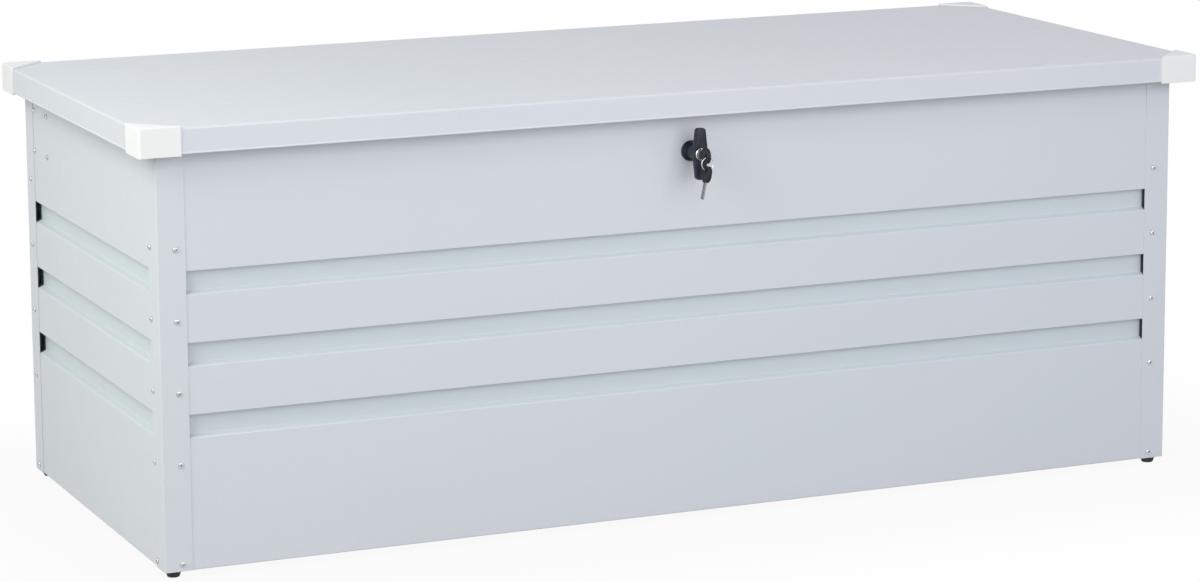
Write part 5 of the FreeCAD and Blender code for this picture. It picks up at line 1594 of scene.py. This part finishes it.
@dataclass
class Strut:
    """One gas strut: a lacquered tube on the lid's arm and a polished rod on the hinge plate."""

    paintbox: Paintbox
    side: Side
    joints: dict[str, Vector]
    tube: float = 9 * MM
    wall: float = 1.3 * MM
    rod: float = 4 * MM
    play: float = 0.3 * MM
    eye: float = 7.5 * MM
    eye_width: float = 9 * MM
    stud: float = 4.05 * MM
    shank: float = 3.5 * MM
    shank_start: float = 5.2 * MM
    neck: float = 14 * MM
    end_gap: float = 2 * MM
    spare: float = 7 * MM
    guide: float = 10 * MM
    floor: float = 3 * MM
    piston: float = 8 * MM

    def build(self) -> None:
        """Builds both halves between their studs."""
        cylinder, rod = (f"{self.side.value}_strut_{half}" for half in ("cylinder", "rod"))
        high, low = self.joints[f"{cylinder}_turn"], self.joints[f"{rod}_turn"]
        shut = (high - low).length
        way = (low - high).normalized()
        self.half(cylinder, self.cylinder(shut), high, way, Finish.BLACK_ENAMEL)
        self.half(rod, self.rod_rings(shut), low, -way, Finish.POLISHED_ROD)

    def eye_rings(self) -> Profile:
        """The profile of the eye round a stud: a short sleeve with rounded rims.

        Returns:
            The profile, round the middle of the eye.
        """
        half = self.eye_width / 2
        rim = ((-0.8, 0), (-0.2, 0.24), (0, 0.8))
        lower = rings_near(self.eye, -half, *rim)
        upper = [(wide, -high) for wide, high in reversed(lower)]
        return [(self.stud, -half), *lower, *upper, (self.stud, half)]

    def half(self, node: str, rings: Profile, place: Vector, way: Vector, finish: Finish) -> None:
        """Turns one half of the strut, joins it to its eye and places both.

        Args:
            node: the node that it stands for, which has the name of its body.
            rings: its profile, with its eye's middle at the origin.
            place: the middle of the eye.
            way: the direction of its length.
            finish: its finish.
        """
        shaft = Bench.put(Bench.turned(f"{node}_piece", rings, 40), place, way)
        sleeve = Bench.put(Bench.turned("eye", self.eye_rings(), 40, closed=True), place, ALONG)
        piece = Bench.smooth(Bench.combined(shaft, sleeve, Way.JOIN))
        self.paintbox.dress(piece, finish, node, node)

    def cylinder(self, shut: float) -> Profile:
        """The tube's profile, with its closed end, the crimp near its mouth and the rod's guide.

        Args:
            shut: the distance between the studs with the lid shut.

        Returns:
            The profile.
        """
        start, end = self.neck, shut - self.neck - self.end_gap
        inner, mouth = self.tube - self.wall, self.rod + self.play
        crimp = ((0, -12), (-0.7, -11.2), (-0.7, -10), (0, -9.2))
        rings: Profile = [(0, self.shank_start), (self.shank, self.shank_start)]
        rings += rings_near(self.shank, start, (0, -2.2), (1.6, -0.6), (1.8, 0))
        rings += rings_near(self.tube, start, (-1.8, 0), (-0.6, 0.5), (0, 1.8))
        rings += rings_near(self.tube, end, *crimp, (0, -1.8), (-0.6, -0.5), (-1.8, 0))
        rings += rings_near(mouth, end, (1.2, 0), (1.2, -0.8), (0, -0.8))
        rings += [(mouth, end - self.guide), (inner, end - self.guide)]
        return rings + [(inner, start + self.floor), (0, start + self.floor)]

    def rod_rings(self, shut: float) -> Profile:
        """The rod's profile, with its threaded neck below and its piston inside the tube.

        Args:
            shut: the distance between the studs with the lid shut.

        Returns:
            The profile.
        """
        top = shut - self.neck - self.spare
        piston, foot = self.tube - self.wall - self.play, top - self.piston
        rings: Profile = [(0, self.shank_start), (self.shank, self.shank_start)]
        rings += rings_near(self.shank, self.neck, (0, -2.4))
        rings += rings_near(self.rod, self.neck, (1.2, -2.4), (1.2, -0.4), (0, 0))
        rings += [(self.rod, foot), *rings_near(piston, foot, (-0.5, 0), (0, 0.5))]
        return rings + [*rings_near(piston, top, (0, -0.5), (-0.5, 0)), (0, top)]


@dataclass
class Lock:
    """The T-handle lock: rose, handle, plug, ring, cam and the catch on the lid."""

    paintbox: Paintbox
    joints: dict[str, Vector]
    rose: float = 15 * MM
    step: float = 12.5 * MM
    barrel: float = 9.5 * MM
    barrel_length: float = 19 * MM
    spindle: float = 5.5 * MM
    collar: float = 7.3 * MM
    neck: float = 10.5 * MM
    face: float = 37 * MM
    thickness: float = 9.5 * MM
    half_length: float = 37.25 * MM
    waist: float = 10 * MM
    tip: float = 7 * MM
    ring_out: float = 8.7 * MM
    plug: float = 6 * MM
    rise: float = 0.8 * MM
    easing: float = 0.3 * MM
    play: float = 0.05 * MM
    square: float = 4 * MM
    square_end: float = -22.5 * MM
    turns: int = 14
    pitch: float = 1.25 * MM
    tip_rounding: float = 4 * MM
    rounding: float = 1.8 * MM
    seat_depth: float = 2 * MM
    bore_floor: float = 13 * MM
    plug_length: float = 24 * MM
    slot: tuple[float, float] = (1.25 * MM, 4.15 * MM)
    slot_depth: float = 22.1 * MM

    def __post_init__(self) -> None:
        """Finds the lock's axis, where it leaves the front panel."""
        self.place = self.joints["handle_turn"]
        self.out = Vector((0, -1, 0))

    def build(self) -> None:
        """Builds and dresses every piece of the lock."""
        self.housing()
        self.handle()
        self.plug_and_ring()
        for node, body in (("lock_cam", "handle"), ("lock_catch", "lid")):
            self.paintbox.dress_node(node, Finish.ZINC_STEEL, body, self.easing)
        low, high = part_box("lock_nut")
        nut = HexNut(27 * MM, high.y - low.y, 2 * self.barrel - 0.6 * MM).build("lock_nut_piece")
        Bench.put(nut, Vector((self.place.x, high.y, self.place.z)), self.out)
        self.paintbox.dress(nut, Finish.ZINC_STEEL, "chest", "lock_nut")
        screw = CrossHeadScrew(
            head=11 * MM, rise=2.2 * MM, thread=4 * MM, length=8 * MM, pitch=0.8 * MM,
            recess=5.5 * MM, pointed=False,
        )
        piece = screw.build("cam_screw_piece", 28)
        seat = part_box("cam_screw")[1].y - screw.rise
        Bench.put(piece, Vector((self.place.x, seat, self.place.z)), -self.out)
        self.paintbox.dress(piece, Finish.ZINC_STEEL, "handle", "cam_screw")

    def placed(self, piece: Piece) -> Piece:
        """Puts a piece whose Z axis is the lock's own on the front panel.

        Args:
            piece: the piece.

        Returns:
            The piece, smooth and in its place.
        """
        Bench.smooth(piece)
        turn = Matrix.Rotation(math.pi / 2, 4, "X")
        piece.matrix_world = Matrix.Translation(self.place) @ turn
        return Bench.settle(piece)

    def housing(self) -> None:
        """The rose with its rounded steps, and the threaded barrel behind it."""
        bore, end = self.spindle + self.play, -self.barrel_length
        rings: Profile = [(bore, end), (self.barrel - 0.6 * MM, end)]
        for turn in range(self.turns):
            low = end + 0.5 * MM + turn * self.pitch
            rings += rings_near(self.barrel, low, (0, 0), (0, 0.4), (-0.35, 0.8))
        rings += rings_near(self.barrel, 0, (-0.35, 0))
        rings += rings_near(self.rose, 0, (-0.3, 0), (0, 0.3), (0, 2.2), (-0.35, 3.1), (-1.2, 3.5))
        rings += rings_near(self.step, 0, (0.2, 3.5), (0, 3.8), (0, 5.8), (-0.4, 6.7), (-1.3, 7.0))
        rings += [(bore, 7.0 * MM)]
        piece = self.placed(Bench.turned("lock_housing_piece", rings, 56, closed=True))
        self.paintbox.dress(piece, Finish.BLACK_ENAMEL, "chest", "lock_housing")

    def handle(self) -> None:
        """The bar: widest at the boss, narrowing to rounded tips, on a neck with the spindle."""
        back, front = self.face - self.thickness, self.face
        low = Vector((-self.tip, -self.half_length, back))
        bar = Bench.block("t_handle_piece", low, Vector((self.tip, self.half_length, front)))
        boss, shoulder = 0.27, 0.62
        for share in (-shoulder, -boss, boss, shoulder):
            Bench.pick(bar, Pick.FACES, lambda face: True)
            plane = {"plane_co": (0, share * self.half_length, 0), "plane_no": (0, 1, 0)}
            Bench.edit(bar, lambda: bpy.ops.mesh.bisect(**plane))
        widest = self.waist / self.tip
        for share, widening in ((boss, widest), (shoulder, 0.5 * (1 + widest))):
            level = share * self.half_length
            Bench.pick(bar, Pick.POINTS, lambda point: abs(abs(point.co.y) - level) < 0.1 * MM)
            stretch = {"value": (widening, 1, 1), "center_override": (0, 0, 0)}
            Bench.edit(bar, lambda: bpy.ops.transform.resize(**stretch))
        Bench.pick(bar, Pick.EDGES, self.is_tip_corner)
        corner = {"offset": self.tip_rounding, "segments": 6, "affect": "EDGES"}
        Bench.edit(bar, lambda: bpy.ops.mesh.bevel(**corner))
        Bench.eased(bar, self.rounding, 4, 40)
        Bench.combined(bar, self.shaft(back), Way.JOIN)
        wide, floor = self.ring_out + self.play, front - self.seat_depth
        Bench.combined(bar, Bench.peg("ring_seat", wide, floor, front + PAST), Way.CUT)
        bore = Bench.peg("plug_bore", self.plug + 2 * self.play, self.bore_floor, front)
        Bench.combined(bar, bore, Way.CUT)
        self.paintbox.dress(self.placed(bar), Finish.BLACK_ENAMEL, "handle", "t_handle")

    def is_tip_corner(self, ends: list[bpy.types.MeshVertex]) -> bool:
        """Whether an edge of the bar runs through its thickness at a tip.

        Args:
            ends: the edge's two points.

        Returns:
            True for the four corners of the tips.
        """
        first, last = (end.co for end in ends)
        at_tip = min(abs(first.y), abs(last.y)) > self.half_length - 0.1 * MM
        return at_tip and abs(first.z - last.z) > self.thickness / 2

    def shaft(self, back: float) -> Piece:
        """The neck, the spindle, its square end and the hole for the cam's screw.

        Args:
            back: the height of the bar's rear face above the front panel.

        Returns:
            The shaft.
        """
        core, end = back + self.thickness / 2, -self.barrel_length
        rings: Profile = [(0, end), (self.spindle, end), (self.spindle, self.collar)]
        rings += rings_near(self.neck, self.collar, (-0.8, 0), (0, 0.8))
        rings += rings_near(self.neck, back, (0, -3), (-0.5, 1))
        rings += [*rings_near(self.neck, core, (-0.5, 0)), (0, core)]
        shaft = Bench.turned("handle_shaft", rings, 48)
        half, tail = self.square, self.square_end
        low, high = Vector((-half, -half, tail)), Vector((half, half, end + 1 * MM))
        square = Bench.eased(Bench.block("handle_square", low, high), 0.3 * MM)
        Bench.combined(shaft, square, Way.JOIN)
        hole = Bench.peg("screw_hole", 2.05 * MM, 2 * tail, tail + 8.3 * MM, 24)
        return Bench.combined(shaft, hole, Way.CUT)

    def plug_and_ring(self) -> None:
        """The plug with its key slot and the bright bevelled ring round it."""
        front = self.face + self.rise
        rings: Profile = [(0, front - self.plug_length), (self.plug, front - self.plug_length)]
        rings += rings_near(self.plug, front, (0, -0.3), (-0.3, 0))
        rings += rings_near(0, front, (3.2, 0), (2.9, -0.3), (0, -0.3))
        plug = Bench.turned("lock_plug_piece", rings, 40)
        half_x, half_y = self.slot
        low = Vector((-half_x, -half_y, front - self.slot_depth))
        slot = Bench.block("key_slot", low, Vector((half_x, half_y, front + PAST)))
        Bench.combined(plug, slot, Way.CUT)
        self.paintbox.dress(self.placed(plug), Finish.PLUG_METAL, "plug", "lock_plug")
        inner, outer = self.plug + self.play, self.ring_out
        rings = rings_near(inner, front, (0, -2.8))
        rings += rings_near(outer, front, (0, -2.8), (0, -0.7), (-0.4, -0.15), (-1.1, 0))
        rings += rings_near(inner, front, (0.5, -0.1), (0, -0.6))
        ring = self.placed(Bench.turned("plug_ring_piece", rings, 56, closed=True))
        self.paintbox.dress(ring, Finish.BRIGHT_RING, "handle", "plug_ring")


@dataclass
class Keys:
    """The key in the lock, the spare key and the split ring between them."""

    paintbox: Paintbox
    blade_easing: float = 0.15 * MM
    bow_easing: float = 1.3 * MM
    wire: float = 0.8 * MM
    squeeze: float = 0.98

    def build(self) -> None:
        """Builds both keys and the ring."""
        for name in ("key", "spare_key"):
            self.paintbox.dress_node(name, Finish.KEY_STEEL, name, self.blade_easing)
            bow = f"{name}_bow"
            self.paintbox.dress_node(bow, Finish.BLACK_PLASTIC, name, self.bow_easing, 3)
        self.ring()

    def ring(self) -> None:
        """The split ring: two coils of wire side by side."""
        low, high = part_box("key_ring")
        mean, radius = (high.x - low.x) / 2 - self.wire, self.wire / 2
        circle = {"vertices": 12, "radius": radius * self.squeeze}
        turn = {"steps": 48, "angle": 2 * math.pi, "center": (0, 0, 0), "axis": (0, 1, 0)}
        coils = []
        for index, shift in enumerate((-radius, radius)):
            bpy.ops.object.select_all(action="DESELECT")
            bpy.ops.mesh.primitive_circle_add(location=(mean, shift, 0), **circle)
            coil = Bench.named(f"coil_{index}")
            Bench.pick(coil, Pick.EDGES, lambda ends: True)
            spin = (Bench.everything, lambda: bpy.ops.mesh.spin(**turn), Bench.everything)
            Bench.edit(coil, *spin, Bench.welded, Bench.outward)
            coils.append(coil)
        ring = Bench.smooth(Bench.joined("key_ring_piece", coils))
        ring.location = (low + high) / 2
        Bench.settle(ring)
        self.paintbox.dress(ring, Finish.BRIGHT_RING, "key_ring", "key_ring")


def main() -> None:
    """Builds the whole scene."""
    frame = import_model()
    hinges = [joint for joint in frame["joints"] if "pos_m" in joint]
    joints = {joint["name"]: Vector(joint["pos_m"]) for joint in hinges}
    Studio().build()
    PhotoCamera().build()
    paintbox = Paintbox()
    Carcass(paintbox).build()
    Feet(paintbox).build()
    PanelScrews(paintbox).build()
    Lid(paintbox).build()
    HingeGear(paintbox).build()
    for side in Side:
        Strut(paintbox, side, joints).build()
    Lock(paintbox, joints).build()
    Keys(paintbox).build()


if __name__ == "__main__":
    main()
